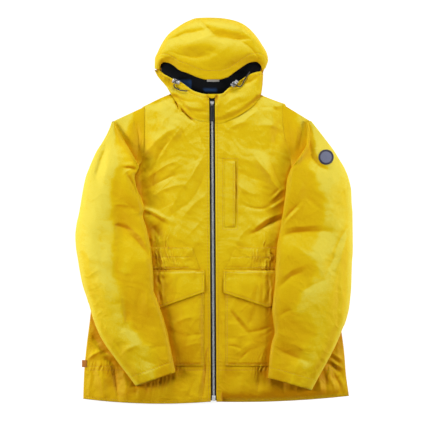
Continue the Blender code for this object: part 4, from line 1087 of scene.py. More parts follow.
def new_material(name, **sockets):
    """A Principled material with these values on its own sockets, and its object coordinates."""
    material = bpy.data.materials.new(name)
    material.use_nodes = True
    tree = material.node_tree
    shader = tree.nodes["Principled BSDF"]
    for socket, value in sockets.items():
        shader.inputs[socket.replace("_", " ")].default_value = value
    place = add_node(tree, "ShaderNodeTexCoord").outputs["Object"]
    return material, tree, shader, place


def bands(tree, place, period, direction):
    """Even bands whose spacing is this many millimetres."""
    return add_node(
        tree,
        "ShaderNodeTexWave",
        {"Vector": place, "Scale": math.pi / (10 * period * MM), "Distortion": 0.4, "Detail": 1.0},
        bands_direction=direction,
    ).outputs["Fac"]


def cloudy(tree, place, size, detail=3.0):
    """Soft noise whose patches are this many millimetres across."""
    return add_node(
        tree, "ShaderNodeTexNoise", {"Vector": place, "Scale": 1 / (size * MM), "Detail": detail}
    ).outputs["Fac"]


def mixed(tree, share, first, second):
    mix = add_node(tree, "ShaderNodeMix", data_type="RGBA")
    for index, value in ((0, share), (6, first), (7, second)):
        if isinstance(value, bpy.types.NodeSocket):
            tree.links.new(value, mix.inputs[index])
        else:
            mix.inputs[index].default_value = value
    return mix.outputs[2]


def coloured(tree, shader, share, first, second):
    """Gives the shader a colour between these two."""
    tree.links.new(mixed(tree, share, four(first), four(second)), shader.inputs["Base Color"])


def ranged(tree, value, low, high, to_low=0.0, to_high=1.0):
    return add_node(
        tree,
        "ShaderNodeMapRange",
        {"Value": value, "From Min": low, "From Max": high, "To Min": to_low, "To Max": to_high},
    ).outputs["Result"]


def bumped(tree, shader, height, depth, normal=None):
    """Bends the shader's light as if the surface stood this many millimetres high."""
    inputs = {"Height": height, "Distance": depth * MM, "Strength": 1.0}
    if normal is not None:
        inputs["Normal"] = normal
    bump = add_node(tree, "ShaderNodeBump", inputs)
    tree.links.new(bump.outputs["Normal"], shader.inputs["Normal"])
    return bump.outputs["Normal"]


def woven(tree, place, period):
    """A plain weave: threads that cross over and under each other."""
    warp = bands(tree, place, period, "X")
    weft = bands(tree, place, period, "Y")
    return add_node(tree, "ShaderNodeMath", {0: warp, 1: weft}, operation="MULTIPLY").outputs[0]


def four(colour):
    return (*colour, 1.0)


def poplin():
    """Crisp plain-woven cotton and nylon, dyed: a dull face with a little sheen along its folds."""
    material, tree, shader, place = new_material(
        "shell_poplin", Roughness=0.5, IOR=1.42, Sheen_Weight=0.03, Sheen_Roughness=0.4
    )
    # light that glances off the threads is tinted by them
    shader.inputs["Specular Tint"].default_value = (1.0, 0.88, 0.2, 1.0)
    shader.inputs["Sheen Tint"].default_value = (1.0, 0.92, 0.4, 1.0)
    # painted shade and light: the colour turns to the shaded orange where the cloth is closed in, turned from
    # the lights or low down, and to the lit yellow where it faces them; a little random tone is added
    deep = add_node(tree, "ShaderNodeAttribute", attribute_name="deep").outputs["Fac"]
    heather = ranged(tree, cloudy(tree, place, 2.0, 3.0), 0.25, 0.75, -0.12, 0.12)
    total = add_node(tree, "ShaderNodeMath", {0: deep, 1: heather}, operation="ADD", use_clamp=True)
    share = total.outputs[0]
    level = mixed(tree, ranged(tree, share, 0.0, 0.25), four(colours().shell_light), four(colours().shell))
    tree.links.new(mixed(tree, share, level, four(colours().shell_deep)), shader.inputs["Base Color"])
    # threads are really 0.3 mm apart, drawn 1.3 mm apart to show close up
    threads = bumped(tree, shader, woven(tree, place, 1.3), 0.05)
    small = bumped(tree, shader, cloudy(tree, place, 7.0, 3.0), 0.45, threads)
    sharp = add_node(
        tree,
        "ShaderNodeTexNoise",
        {"Vector": place, "Scale": 1 / (30 * MM), "Detail": 2.0, "Roughness": 0.5, "Offset": 1.0,
         "Gain": 1.2, "Distortion": 0.5},
        noise_type="RIDGED_MULTIFRACTAL",
    ).outputs["Fac"]
    bumped(tree, shader, sharp, 0.5, small)
    return material


def taffeta():
    """Fine woven polyester lining: near black, with a faint gloss and bluer where light reaches it."""
    material, tree, shader, place = new_material("lining_taffeta", Roughness=0.6, IOR=1.3)
    patch = add_node(tree, "ShaderNodeAttribute", attribute_name="lit").outputs["Fac"]
    coloured(tree, shader, patch, colours().lining, colours().lining_light)
    threads = bumped(tree, shader, woven(tree, place, 1.1), 0.04)
    bumped(tree, shader, cloudy(tree, place, 12.0), 0.6, threads)
    return material


def thread():
    """Spun polyester topstitching thread: twisted, a shade brighter than the cloth."""
    material, tree, shader, place = new_material("thread_polyester", Roughness=0.5, Sheen_Weight=0.2)
    twist = bands(tree, place, 0.9, "DIAGONAL")
    # the twist alternates with the orange of the cloth's painted shade, used here as the thread's own colour
    coloured(tree, shader, twist, colours().thread, colours().shell_deep)
    bumped(tree, shader, twist, 0.08)
    return material


def woven_tape():
    """Black polyester herringbone tape: matt, ribbed along its length."""
    material, tree, shader, place = new_material("tape_herringbone", Roughness=0.8)
    ribs = bands(tree, place, 1.5, "X")
    slant = bands(tree, place, 1.8, "DIAGONAL")
    both = add_node(tree, "ShaderNodeMath", {0: ribs, 1: slant}, operation="MULTIPLY").outputs[0]
    coloured(tree, shader, both, colours().tape, linear("#15161A"))
    bumped(tree, shader, both, 0.25)
    return material


def nylon_coil():
    """Drawn nylon monofilament: pale grey, smooth and slightly waxy."""
    material, tree, shader, place = new_material("coil_nylon", Roughness=0.38, IOR=1.53)
    dust = ranged(tree, cloudy(tree, place, 5.0), 0.35, 0.75)
    coloured(tree, shader, dust, colours().coil, linear("#B9BCBD"))
    return material


def plated_zinc():
    """Die-cast zinc with satin nickel plating: soft bright highlights, fine scuffs."""
    material, tree, shader, place = new_material("slider_plated_zinc", Metallic=1.0)
    shader.inputs["Base Color"].default_value = four(linear("#ECEDEE"))
    scuffs = cloudy(tree, place, 0.8, 5.0)
    tree.links.new(ranged(tree, scuffs, 0.3, 0.7, 0.42, 0.56), shader.inputs["Roughness"])
    bumped(tree, shader, scuffs, 0.02)
    return material


def moulded_acetal():
    """Injection-moulded acetal: dark grey, fine spark-eroded grain, rounded highlights."""
    material, tree, shader, place = new_material("pull_acetal", Roughness=0.42, IOR=1.48)
    grain = cloudy(tree, place, 0.7, 2.0)
    coloured(tree, shader, grain, colours().pull, linear("#1B1D22"))
    bumped(tree, shader, grain, 0.03)
    return material


def moulded_rubber(name, colour):
    """Soft moulded rubber: matt, with a faint grain."""
    material, tree, shader, place = new_material(name, Roughness=0.55, IOR=1.52)
    grain = cloudy(tree, place, 1.2, 4.0)
    darker = tuple(0.78 * value for value in colour)
    coloured(tree, shader, ranged(tree, grain, 0.3, 0.7), colour, darker)
    bumped(tree, shader, grain, 0.08)
    return material


def ribbon(name, colour, gloss):
    """Woven label ribbon: fine ribs across, glossier where it is satin."""
    material, tree, shader, place = new_material(name, Roughness=gloss, Sheen_Weight=0.2)
    ribs = bands(tree, place, 0.9, "Y")
    darker = tuple(0.75 * value for value in colour)
    coloured(tree, shader, ribs, darker, colour)
    bumped(tree, shader, ribs, 0.08)
    return material


def braided_elastic():
    """Braided elastic cord: black polyester strands over a rubber core."""
    material, tree, shader, place = new_material("cord_braid", Roughness=0.6, Sheen_Weight=0.3)
    fibres = cloudy(tree, place, 0.5, 3.0)
    coloured(tree, shader, fibres, colours().cord, linear("#3A3430"))
    bumped(tree, shader, fibres, 0.05)
    return material


def clear_moulding():
    """Moulded polycarbonate, pale and half clear: light passes in and glints at its edges."""
    material, tree, shader, place = new_material(
        "lock_polycarbonate", Roughness=0.18, IOR=1.58, Transmission_Weight=0.35
    )
    haze = cloudy(tree, place, 3.0)
    coloured(tree, shader, haze, colours().lock, linear("#BFC0C6"))
    return material


MAKERS = {
    "shell": poplin,
    "lining": taffeta,
    "thread": thread,
    "tape": woven_tape,
    "coil": nylon_coil,
    "metal": plated_zinc,
    "pull": moulded_acetal,
    "badge": lambda: moulded_rubber("badge_rubber", tuple(colours().badge)),
    "badge_rim": lambda: moulded_rubber("badge_rim_rubber", tuple(colours().badge_rim)),
    "label_grey": lambda: ribbon("label_satin", tuple(colours().label_grey), 0.35),
    "label_tan": lambda: ribbon("label_woven_tab", tuple(colours().label_tan), 0.6),
    "cord": braided_elastic,
    "lock": clear_moulding,
}
made_materials = {}


def material(name):
    if name not in made_materials:
        made_materials[name] = MAKERS[name]()
    return made_materials[name]


# Pieces


def shell_thickness():
    return cloth_settings().shell / MM


def crumple_height():
    return cloth_settings().crumple / MM


def lay_back():
    """The back panel and the hood's back, flat on the floor."""
    rows = [(*left[:2], *right[:2]) for left, right in zip(FRONTS["left"], FRONTS["right"])]
    sections = [
        (ax + BACK_INSET, ay - BACK_INSET, bx - BACK_INSET, by - BACK_INSET) for ax, ay, bx, by in rows[1:-1]
    ]
    ax, ay, bx, by = rows[0]
    hem = (ax + BACK_INSET, ay + BACK_INSET, bx - BACK_INSET, by + BACK_INSET)
    neck = (rows[-1][0], NECK_BACK_Y, rows[-1][2], NECK_BACK_Y)
    net = Net([hem, *sections, neck], pitch=COARSE)
    net.bow_hem(HEM_BOW["back"])
    top = BACK_CLOTH + rolled(net.from_a, net.from_b, net.from_first)
    lay_cloth("back_panel", net, top, BACK_CLOTH, name="back_cloth", keep_flat=True)
    net = Net(HOOD_BACK, pitch=COARSE)
    top = BACK_CLOTH + rolled(net.from_a, net.from_b, net.from_last)
    lay_cloth("hood_back", net, top, BACK_CLOTH, keep_flat=True)


def lay_lining():
    """The hood's lining with its bluer patches, and the bare label on it."""
    net = Net(HOOD_LINING, pitch=3.2)
    top = read_form("hood_lining", net, 24, 5)
    top = top + 0.5 * crumple_height() * (1 + crumpled(net))
    piece = lay_cloth("hood_lining", net, top, LINING_CLOTH, "lining", name="lining_cloth")
    # patches of painted light on the lining
    lit = np.zeros_like(net.x)
    for left, right, low, high in LINING_PATCHES:
        inside = smooth_step((net.x - left + 0.5 * (net.y - low)) / 6) * smooth_step((right - net.x) / 3)
        lit = np.maximum(lit, inside * smooth_step((net.y - low) / 5) * smooth_step((high - net.y) / 5))
    tone = piece.data.attributes.new("lit", "FLOAT", "POINT")
    tone.data.foreach_set("value", np.concatenate([lit.ravel(), lit.ravel()]).astype(np.float32))
    net = Net(upright(**NECK_LABEL), pitch=1.5, straight=True)
    top = read_form("neck_label", net, 20, 2) + rolled(net.from_a, net.from_b) * 0.3
    lay_cloth("neck_label", net, top, LABEL_CLOTH, "label_grey", name="hood_label")


def lay_tapes():
    """The zip's two tapes, ribbed along their length."""
    for side, way in (("left", -1), ("right", 1)):
        ends = [ZIP_BOTTOM_Y + 1, ZIP_TOP_Y + TAPE_OVER]
        sections = [(zip_x(y) + way * 0.2, y, zip_x(y) + way * TAPE_WIDTH, y) for y in ends]
        net = Net(sections, pitch=2.0 * QUICK, straight=True)
        ribs = 0.12 * np.cos(2 * math.pi * net.from_a / 3.0)
        top = TAPE_Z + TAPE_CLOTH - 0.12 + ribs
        lay_cloth(f"zip_tape_{side}", net, top, 0.8 * TAPE_CLOTH, "tape", "zip_tape")


def lay_fronts():
    """Both fronts, with their creases, gathers and hems."""
    for side in ("left", "right"):
        net = Net(on_zip(FRONTS[side], side))
        net.bow_hem(HEM_BOW[side])
        node = f"front_{side}"
        top = read_form(node, net, 30, 13)
        calm = smooth_step(net.from_b / 26)
        shape = 1.2 * creased(net, FRONT_CREASES[side]) * smooth_step(net.from_b / 9)
        shape += gathered(net, FRONT_GATHERS[side])
        shape += 0.85 * crumple_height() * crumpled(net) * (0.3 + 0.7 * calm)
        lean = 52 if side == "left" else 128
        shape += short_creases(net, 5 + len(side), 90, lean, 0.6) * calm
        shape *= smooth_step(net.from_a / 16)
        shape += hemmed(net.from_first, net.from_a, EDGE_STITCH)
        shape += np.where(net.y < NECK_Y, sewn(net.from_b - EDGE_STITCH, net.y), 0.0)
        shape += sewn(net.y - HEM_STITCH_Y, net.x)
        shape += 0.6 * sewn(net.y - (HEM_STITCH_Y - HEM_STITCH_GAP), net.x)
        shape += rolled(net.from_b, net.from_first)
        if side == "right":
            shape += boxed_stitches(net, WELT)
        lay_cloth(node, net, top + shape, shell_thickness())


def boxed_stitches(net, box):
    """The stitched box round an upright welt, sunk a little into the cloth."""
    inside_x = smooth_step((net.x - box["left"] + 8) / 6) * smooth_step((box["right"] + 12 - net.x) / 6)
    inside_y = smooth_step((net.y - box["bottom"] + 8) / 6) * smooth_step((box["top"] + 8 - net.y) / 6)
    return -0.3 * inside_x * inside_y


def tube_loop(points, radius, sides):
    """Rings of points round a path, with the faces between them and at its ends."""
    points = np.asarray(points, float)
    ways = np.gradient(points, axis=0)
    ways /= np.linalg.norm(ways, axis=1, keepdims=True)
    guide = np.array([0.0, 0.0, 1.0]) if abs(ways[:, 2]).max() < 0.95 else np.array([1.0, 0.0, 0.0])
    side = np.cross(ways, guide)
    side /= np.linalg.norm(side, axis=1, keepdims=True)
    up = np.cross(side, ways)
    angles = np.linspace(0, 2 * math.pi, sides, endpoint=False)
    radius = np.broadcast_to(radius, (len(points), sides))[..., None]
    ring = np.cos(angles)[None, :, None] * side[:, None] + np.sin(angles)[None, :, None] * up[:, None]
    rings = points[:, None] + radius * ring
    return rings.reshape(-1, 3), ring_faces(len(points), sides)


def copies(points, faces, places):
    """One mesh's points and faces repeated at each place."""
    all_points = np.concatenate([points + place for place in places])
    all_faces = []
    for number in range(len(places)):
        shift = number * len(points)
        all_faces.extend([index + shift for index in face] for face in faces)
    return all_points, all_faces


def lay_coil():
    """The closed coil: loops from both sides that pass each other, and the box at their lower end."""
    low = ZIP_BOTTOM_Y + BOX_LENGTH + 0.5
    high = HINGE_Y + SLIDER_LENGTH / 2
    count = int((high - low) / COIL_PITCH)
    points, faces = [], []
    for way in (-1, 1):
        profile = [
            (way * (COIL_REACH - 0.5), 0, 0.55),
            (way * COIL_REACH, 0, 1.1),
            (way * COIL_REACH, 0, COIL_HEIGHT - 1.1),
            (way * (COIL_REACH - 0.6), 0, COIL_HEIGHT - COIL_WIRE),
            (-way * (COIL_LAP - 0.5), 0, COIL_HEIGHT - COIL_WIRE),
            (-way * COIL_LAP, 0, COIL_HEIGHT - 1.1),
            (-way * (COIL_LAP + 0.1), 0, 0.9),
        ]
        loop, loop_faces = tube_loop(profile, COIL_WIRE, COIL_SIDES)
        ys = low + COIL_PITCH * (np.arange(count) + (0.5 if way > 0 else 0.0) + 0.4)
        places = np.stack([zip_x(ys), ys, np.full(count, COIL_BASE)], axis=1)
        more, more_faces = copies(loop, loop_faces, places)
        faces.extend([index + sum(len(part) for part in points) for index in face] for face in more_faces)
        points.append(more)
    mesh = mesh_of("zip_coil", np.concatenate(points) * MM, faces)
    coil = new_object("zip_coil", mesh, "root", "zip_teeth", "coil")
    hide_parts("zip_teeth")
    box = rounded_box("zip_end_box", (BOX_WIDTH, BOX_LENGTH, BOX_HEIGHT), 1.1)
    y = ZIP_BOTTOM_Y + BOX_LENGTH / 2
    box.transform(Matrix.Translation(Vector((zip_x(y), y, COIL_BASE + BOX_HEIGHT / 2)) * MM))
    end = new_object("zip_end_box", box, "root", "zip_teeth", "coil")
    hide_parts("zip_box")


def rounded_box(name, size, rounding):
    work = bmesh.new()
    bmesh.ops.create_cube(work, size=MM)
    bmesh.ops.scale(work, vec=size, verts=work.verts)
    bmesh.ops.bevel(work, geom=work.edges[:], offset=rounding * MM, segments=3, profile=0.5, affect="EDGES")
    return smooth_mesh(name, work)


def plate(outline, low, high, rounding):
    """A flat plate of this outline between two heights, with rounded edges."""
    work = bmesh.new()
    verts = [work.verts.new((x * MM, y * MM, low * MM)) for x, y in outline]
    face = work.faces.new(verts)
    raised = bmesh.ops.extrude_face_region(work, geom=[face])["geom"]
    tops = [item for item in raised if isinstance(item, bmesh.types.BMVert)]
    bmesh.ops.translate(work, vec=(0, 0, (high - low) * MM), verts=tops)
    bmesh.ops.recalc_face_normals(work, faces=work.faces)
    sharp = [edge for edge in work.edges if edge.calc_face_angle(0) > 1.2]
    bmesh.ops.bevel(work, geom=sharp, offset=rounding * MM, segments=3, profile=0.5, affect="EDGES")
    return work


def hinge_point():
    z = COIL_BASE + COIL_HEIGHT + COIL_GAP + SLIDER_PLATE + HINGE_RISE
    return Vector((zip_x(HINGE_Y), HINGE_Y, z)) * MM


def lay_slider():
    """The slider's wedge-shaped plate, its side flanges and the bail over it."""
    half_top = SLIDER_TOP_WIDTH / 2
    half_low = SLIDER_LOW_WIDTH / 2
    half = SLIDER_LENGTH / 2
    outline = [
        (-half_low, -half), (half_low, -half), (half_low, -1.5), (half_top, 2.5), (half_top, half - 1.5),
        (half_top - 2, half), (2 - half_top, half), (-half_top, half - 1.5), (-half_top, 2.5),
        (-half_low, -1.5),
    ]
    rise = -HINGE_RISE
    work = plate(outline, rise - SLIDER_PLATE, rise, 0.5)
    angles = np.linspace(0.0, math.pi, 15)
    arch = [(0, BAIL_RADIUS * math.cos(a), BAIL_RADIUS * math.sin(a) - HINGE_RISE) for a in angles]
    path = [(0, BAIL_RADIUS, rise - 0.8), *arch, (0, -BAIL_RADIUS, rise - 0.8)]
    points, faces = tube_loop(path, BAIL_WIRE, 10)
    bail = mesh_of("bail", points * MM, faces)
    work.from_mesh(bail)
    bpy.data.meshes.remove(bail)
    bmesh.ops.translate(work, vec=hinge_point(), verts=work.verts)
    mesh = smooth_mesh("zip_slider_body", work)
    slider = new_object("zip_slider_body", mesh, "root", "zip_metal", "metal")
    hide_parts("zip_slider")


def lay_pull():
    """The moulded pull tab with its eye, a waist below it and grip ribs at its end."""
    stations, half_widths, half_heights = np.array(TAB_SHAPE).T
    ys = np.concatenate([np.linspace(TAB_BAR, -8.5, 20), np.linspace(-9.0, -TAB_LENGTH, 60)])
    widths = np.interp(-ys, -stations, half_widths)
    heights = np.interp(-ys, -stations, half_heights)
    grip = (ys < TAB_GRIP[1]) & (ys > TAB_GRIP[0])
    heights = heights - TAB_GRIP_DEPTH * (np.sin(2 * math.pi * ys / TAB_GRIP_PITCH) > 0) * grip
    angles = np.linspace(0, 2 * math.pi, TAB_SIDES, endpoint=False) + math.pi / TAB_SIDES
    squarish = 1 / np.maximum(np.abs(np.cos(angles)), np.abs(np.sin(angles))) ** 0.75
    points = []
    for y, wide, high in zip(ys, widths, heights):
        points.extend((wide * math.cos(a) * s, y, high * math.sin(a) * s) for a, s in zip(angles, squarish))
    points = np.array(points)
    points[:, 0] = np.clip(points[:, 0], -TAB_WIDTH / 2, TAB_WIDTH / 2)
    points[:, 2] = np.clip(points[:, 2], -TAB_THICKNESS / 2, TAB_THICKNESS / 2)
    mesh = mesh_of("pull_tab", points * MM, ring_faces(len(ys), TAB_SIDES))
    work = bmesh.new()
    work.from_mesh(mesh)
    bmesh.ops.recalc_face_normals(work, faces=work.faces)
    work.to_mesh(mesh)
    work.free()
    tab = put("pull_tab", mesh)
    eye = put("eye", rounded_box("eye", (TAB_EYE_WIDTH, TAB_EYE_LENGTH, 6), 0.6))
    eye.location = (0, (-TAB_BAR - TAB_EYE_LENGTH / 2) * MM, 0)
    cut = tab.modifiers.new("eye", "BOOLEAN")
    cut.operation = "DIFFERENCE"
    cut.object = eye
    bpy.context.view_layer.update()
    done = bpy.data.meshes.new_from_object(tab.evaluated_get(bpy.context.evaluated_depsgraph_get()))
    bpy.data.objects.remove(tab)
    bpy.data.objects.remove(eye)
    done.materials.clear()
    done.transform(Matrix.Translation(hinge_point()) @ Matrix.Rotation(TAB_DROP, 4, "X"))
    pull = new_object("zip_pull_tab", done, "zip_pull", "pull", "pull")
    done.shade_smooth()
    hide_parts("zip_pull")


def seated(net, rise, edge, reach=6.0):
    """Trim that lies on the cloth below: thin at its sewn edges and this much higher inside."""
    below = evened(layers.under(net.x, net.y), 1.2, 1.2) + CLEAR
    return below + 0.5 + rise * smooth_step(edge / reach)


def lay_casings():
    """The ruched casings at the waist."""
    for side, size in CASINGS.items():
        sections = [
            (size["inner_top"], CASING_TOP_Y, size["inner_bottom"], CASING_BOTTOM_Y),
            (size["outer"], CASING_TOP_Y, size["outer"], CASING_BOTTOM_Y),
        ]
        net = Net(sections, pitch=1.5 * QUICK, straight=True)
        edge = least(net.from_a, net.from_b, net.from_first)
        top = seated(net, 0.4, edge, 12.0)
        shape = gathered(net, TRIM_GATHERS[side]) * smooth_step(edge / 4)
        shape += 0.5 * short_creases(net, 31 + len(side), 60, 90, 1.0) * smooth_step(edge / 4)
        for y in CASING_STITCH_YS:
            shape += sewn(net.y - y, net.x)
        lay_cloth(f"waist_casing_{side}", net, top + shape, CASING_CLOTH, fullness=1.2)


def lay_pockets():
    """The chest pocket's welt, the patch pockets and their flaps."""
    net = Net(upright(**WELT), pitch=2.0 * QUICK, straight=True)
    edge = least(net.from_first, net.from_last, net.from_a / 3)
    top = seated(net, 1.2, edge, 8.0) - 0.4 * np.exp(-(((net.from_a - 3) / GROOVE_REACH) ** 2))
    lay_cloth("chest_pocket_welt", net, top, WELT_CLOTH, name="chest_welt_cloth")
    for side, size in POCKETS.items():
        net = Net(upright(**size), straight=True)
        edge = least(net.from_a, net.from_b, net.from_first)
        top = seated(net, 1.4, edge, 12.0)
        shape = creased(net, POCKET_CREASES[side])
        shape += 0.6 * gathered(net, TRIM_GATHERS[side])
        shape += short_creases(net, 41 + len(side), 30, 60, 1.0)
        shape = shape * (0.2 + 0.8 * smooth_step(edge / 12))
        shape += 1.3 * sewn(net.from_a - POCKET_STITCH, net.y) + 1.3 * sewn(net.from_b - POCKET_STITCH, net.y)
        shape += 1.3 * sewn(net.from_first - LOW_STITCH, net.x)
        lay_cloth(f"pocket_{side}", net, top + shape, POCKET_CLOTH)
    for side, size in FLAPS.items():
        middle = (size["inner"] + size["outer"]) / 2
        ends = [(size["inner"], size["side"]), (middle, size["point"]), (size["outer"], size["side"])]
        net = Net([(x, size["top"], x, low) for x, low in ends], straight=True)
        edge = least(net.from_b, net.from_first, net.from_last)
        top = seated(net, 0.3, net.from_a, 14.0) + 2.3 * smooth_step(net.from_a / 50)
        top += 0.9 * (1 - smooth_step((net.from_a - 5.5) / 6))
        shape = creased(net, FLAP_CREASES[side]) + 0.5 * gathered(net, TRIM_GATHERS[side])
        shape += short_creases(net, 51 + len(side), 16, 70, 0.8)
        shape = shape * (0.4 + 0.6 * smooth_step(edge / 10))
        shape += sewn(edge - EDGE_STITCH, net.x) + 0.6 * sewn(net.from_a - LOW_STITCH, net.x)
        shape += 0.6 * rolled(net.from_b, net.from_first, net.from_last)
        lay_cloth(f"flap_{side}", net, top + shape, FLAP_CLOTH)


def lay_side_label():
    """The bare tab label in the side seam."""
    net = Net(upright(**SIDE_LABEL), pitch=1.2, straight=True)
    top = read_form("side_label", net, 10, 2) + rolled(net.from_a, net.from_first, net.from_last) * 0.6
    lay_cloth("side_label", net, top, SIDE_TAB_CLOTH, "label_tan", name="side_tab")


def seam_level(net, columns):
    """The height of what a piece is sewn to along these columns, carried on over the piece."""
    return evened(layers.under(net.x, net.y)[:, columns].mean(axis=1, keepdims=True), 1.5, 1)


def lay_sleeves():
    """Both sleeves over the fronts, each an under sleeve and an upper one."""
    for side in ("left", "right"):
        below = layers.top.copy()
        lay_under_sleeve(side)
        lay_upper_sleeve(side, below)


def flattened(net, top, rest, inner):
    """Makes the half of a sleeve next to the body nearly level out to a tight fold."""
    across = 2 * net.u - 1
    inward = across if inner == "b" else -across
    soft = np.maximum((1 - np.abs(across) ** 2.4) ** 0.6, 0.12)
    tight = (1 - np.abs(across) ** 9) ** 0.5
    share = smooth_step(inward * 1.4 + 0.35)
    rise = np.maximum(top - rest, 0.3)
    return rest + rise * (1 - share) + share * SLEEVE_LEVEL * rise * tight / soft


def lay_under_sleeve(side):
    """The layer on the front, which shows at the armhole where the sleeve folds over it."""
    sections = []
    armhole = ARMHOLES[side]
    for index, (ax, ay, bx, by) in enumerate(SLEEVES[side]):
        ax, bx = ax + SLEEVE_INSET, bx - SLEEVE_INSET
        up = 0 if index else LAP
        if index < len(armhole) and side == "left":
            bx, by = armhole[index][0] + LAP, armhole[index][1] + up
        elif index < len(armhole):
            ax, ay = armhole[index][0] - LAP, armhole[index][1] + up
        sections.append((ax, ay, bx, by))
    net = Net(sections, pitch=3.4 * QUICK)
    node = f"under_sleeve_{side}"
    top = read_form(node, net, 32, 9)
    seam = net.from_b if side == "left" else net.from_a
    upper_part = smooth_step((net.y - 90) / 40)
    shape = creased(net, CAP_CREASES[side]) * upper_part
    shape += 0.5 * crumple_height() * crumpled(net) * (0.4 + 0.6 * upper_part)
    shape *= smooth_step(seam / 9)
    shape += rolled(net.from_a if side == "left" else net.from_b)
    # at the armhole the cloth is sewn down onto the front
    sewn_down = upper_part * (1 - smooth_step((seam - 2) / 66))
    front = seam_level(net, slice(-2, None) if side == "left" else slice(0, 2)) + 0.1
    top = top + (front - top) * sewn_down
    lay_cloth(node, net, top + shape, UNDER_SLEEVE_CLOTH)


def lay_upper_sleeve(side, below):
    net = Net(SLEEVES[side], crowd_edges=True)
    node = f"upper_sleeve_{side}"
    top = read_form(node, net, 28, 11)
    rest = evened(layers.under(net.x, net.y), 2, 2)
    top = flattened(net, top, rest, "b" if side == "left" else "a")
    edge = least(net.from_a, net.from_b)
    lean = 100 if side == "left" else 80
    shape = 0.9 * creased(net, SLEEVE_CREASES[side]) * smooth_step(edge / 8)
    shape += short_creases(net, 21 + len(side), 46, lean, 0.45) * smooth_step(edge / 6)
    shape += 0.55 * crumple_height() * crumpled(net) * smooth_step(edge / 16)
    shape += hemmed(net.from_last, net.from_a, CUFF_HEM)
    shape += rolled(net.from_last)
    lay_cloth(node, net, top + shape, shell_thickness(), round_folds=1.26, folds="ab", below=below)


def lay_badge():
    """A bare round badge on the sleeve: a raised rim round a plain middle."""
    sides = BADGE_SIDES
    points, under = [], []
    for radius, rise in BADGE_RINGS:
        for angle in np.linspace(0, 2 * math.pi, sides, endpoint=False):
            x = BADGE_CENTRE[0] + radius * math.cos(angle)
            y = BADGE_CENTRE[1] + radius * math.sin(angle)
            place = layers.on("upper_sleeve_right_cloth", x, y)[0]
            points.append(place + Vector((0, 0, rise * MM)))
            under.append(place + Vector((0, 0, BADGE_UNDERSIDE * MM)))
    middles = [sum(ring[:sides], Vector()) / sides for ring in (points, under)]
    total = [point[:] for point in points + under + middles]
    base = len(points)
    outer = base - sides
    faces = []
    for j in range(outer):
        k = j - sides + 1 if j % sides == sides - 1 else j + 1
        faces.append([j, j + sides, k + sides, k])
        faces.append([base + k, base + k + sides, base + j + sides, base + j])
    for j in range(sides):
        k = (j + 1) % sides
        faces.append([outer + j, base + outer + j, base + outer + k, outer + k])
        faces.append([2 * base, j, k])
        faces.append([2 * base + 1, base + k, base + j])
    mesh = mesh_of("badge_disc", total, faces)
    badge = new_object("badge_disc", mesh, "root", "badge", "badge", "badge_rim")
    for face in mesh.polygons:
        out = math.hypot(face.center.x / MM - BADGE_CENTRE[0], face.center.y / MM - BADGE_CENTRE[1])
        face.material_index = 1 if out > BADGE_RIM else 0
    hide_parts("sleeve_badge")


def lapped(section):
    """The same section, reaching over the neck seam."""
    ax, ay, bx, by = section
    share = LAP / math.hypot(bx - ax, by - ay)
    return ax - share * (bx - ax), ay - share * (by - ay), bx, by


def lay_hood_front():
    """The hood's halves below the face opening, and the chin guard."""
    for side in ("left", "right"):
        net = Net([lapped(section) for section in on_zip(COLLARS[side], side)])
        node = f"collar_{side}"
        top = read_form(node, net, 18, 6)
        sewn_down = (1 - smooth_step((net.from_a - LAP) / 14)) * (1 - smooth_step((net.y - 270) / 16))
        top += (seam_level(net, slice(0, 2)) + 0.45 - top) * sewn_down
        shape = creased(net, COLLAR_CREASES[side])
        shape += 0.8 * crumple_height() * crumpled(net)
        shape *= 0.3 + 0.7 * smooth_step(least(net.from_a, net.from_b) / 9)
        zip_edge = net.from_last if side == "left" else net.from_first
        stitched = sewn(zip_edge - EDGE_STITCH, net.y) + sewn(net.from_b - COLLAR_STITCH, net.x)
        shape += stitched + sewn(net.from_a - NECK_STITCH, net.x)
        shape += rolled(net.from_b, zip_edge)
        lay_cloth(node, net, top + shape, COLLAR_CLOTH)
    middle = zip_x(CHIN_GUARD_TOP_Y)
    sections = []
    for angle in np.linspace(CHIN_GUARD_START, math.pi - CHIN_GUARD_START, 25):
        x = middle - CHIN_GUARD_RADIUS * math.cos(angle)
        drop = CHIN_GUARD_RADIUS * math.sin(angle)
        sections.append((x, CHIN_GUARD_TOP_Y, x, CHIN_GUARD_TOP_Y - drop))
    net = Net(sections, pitch=0.9, straight=True)
    top = read_form("chin_guard", net, 10, 2) + rolled(net.from_b)
    top += 0.3 * sewn(net.from_b - CHIN_STITCH, net.x)
    lay_cloth("chin_guard", net, top, CHIN_GUARD_CLOTH)


def lay_hood_top():
    """The crown of the hood, with its hemmed brim."""
    net = Net(HOOD_TOP)
    top = read_form("hood_top", net, 18, 11)
    shape = 0.8 * creased(net, HOOD_CREASES)
    shape += 0.5 * crumple_height() * crumpled(net)
    shape += short_creases(net, 12, 40, 10, 0.4)
    shape *= smooth_step(least(net.from_b, net.from_first, net.from_last) / 14)
    shape *= 0.35 + 0.65 * smooth_step(net.from_a / 12)
    shape += hemmed(net.from_a, net.from_first, BRIM_HEM)
    shape += rolled(net.from_a)
    below = np.zeros_like(layers.top)
    lay_cloth("hood_top", net, top + shape, shell_thickness(), round_folds=1.22, folds="b", below=below)


def turned(profile, sides):
    """A solid turned round its own length, which runs along X from its middle."""
    points = []
    half = profile[-1][1] / 2
    for radius, along in profile:
        for angle in np.linspace(0, 2 * math.pi, sides, endpoint=False):
            points.append((along - half, radius * math.cos(angle), radius * math.sin(angle)))
    return np.array(points), ring_faces(len(profile), sides)


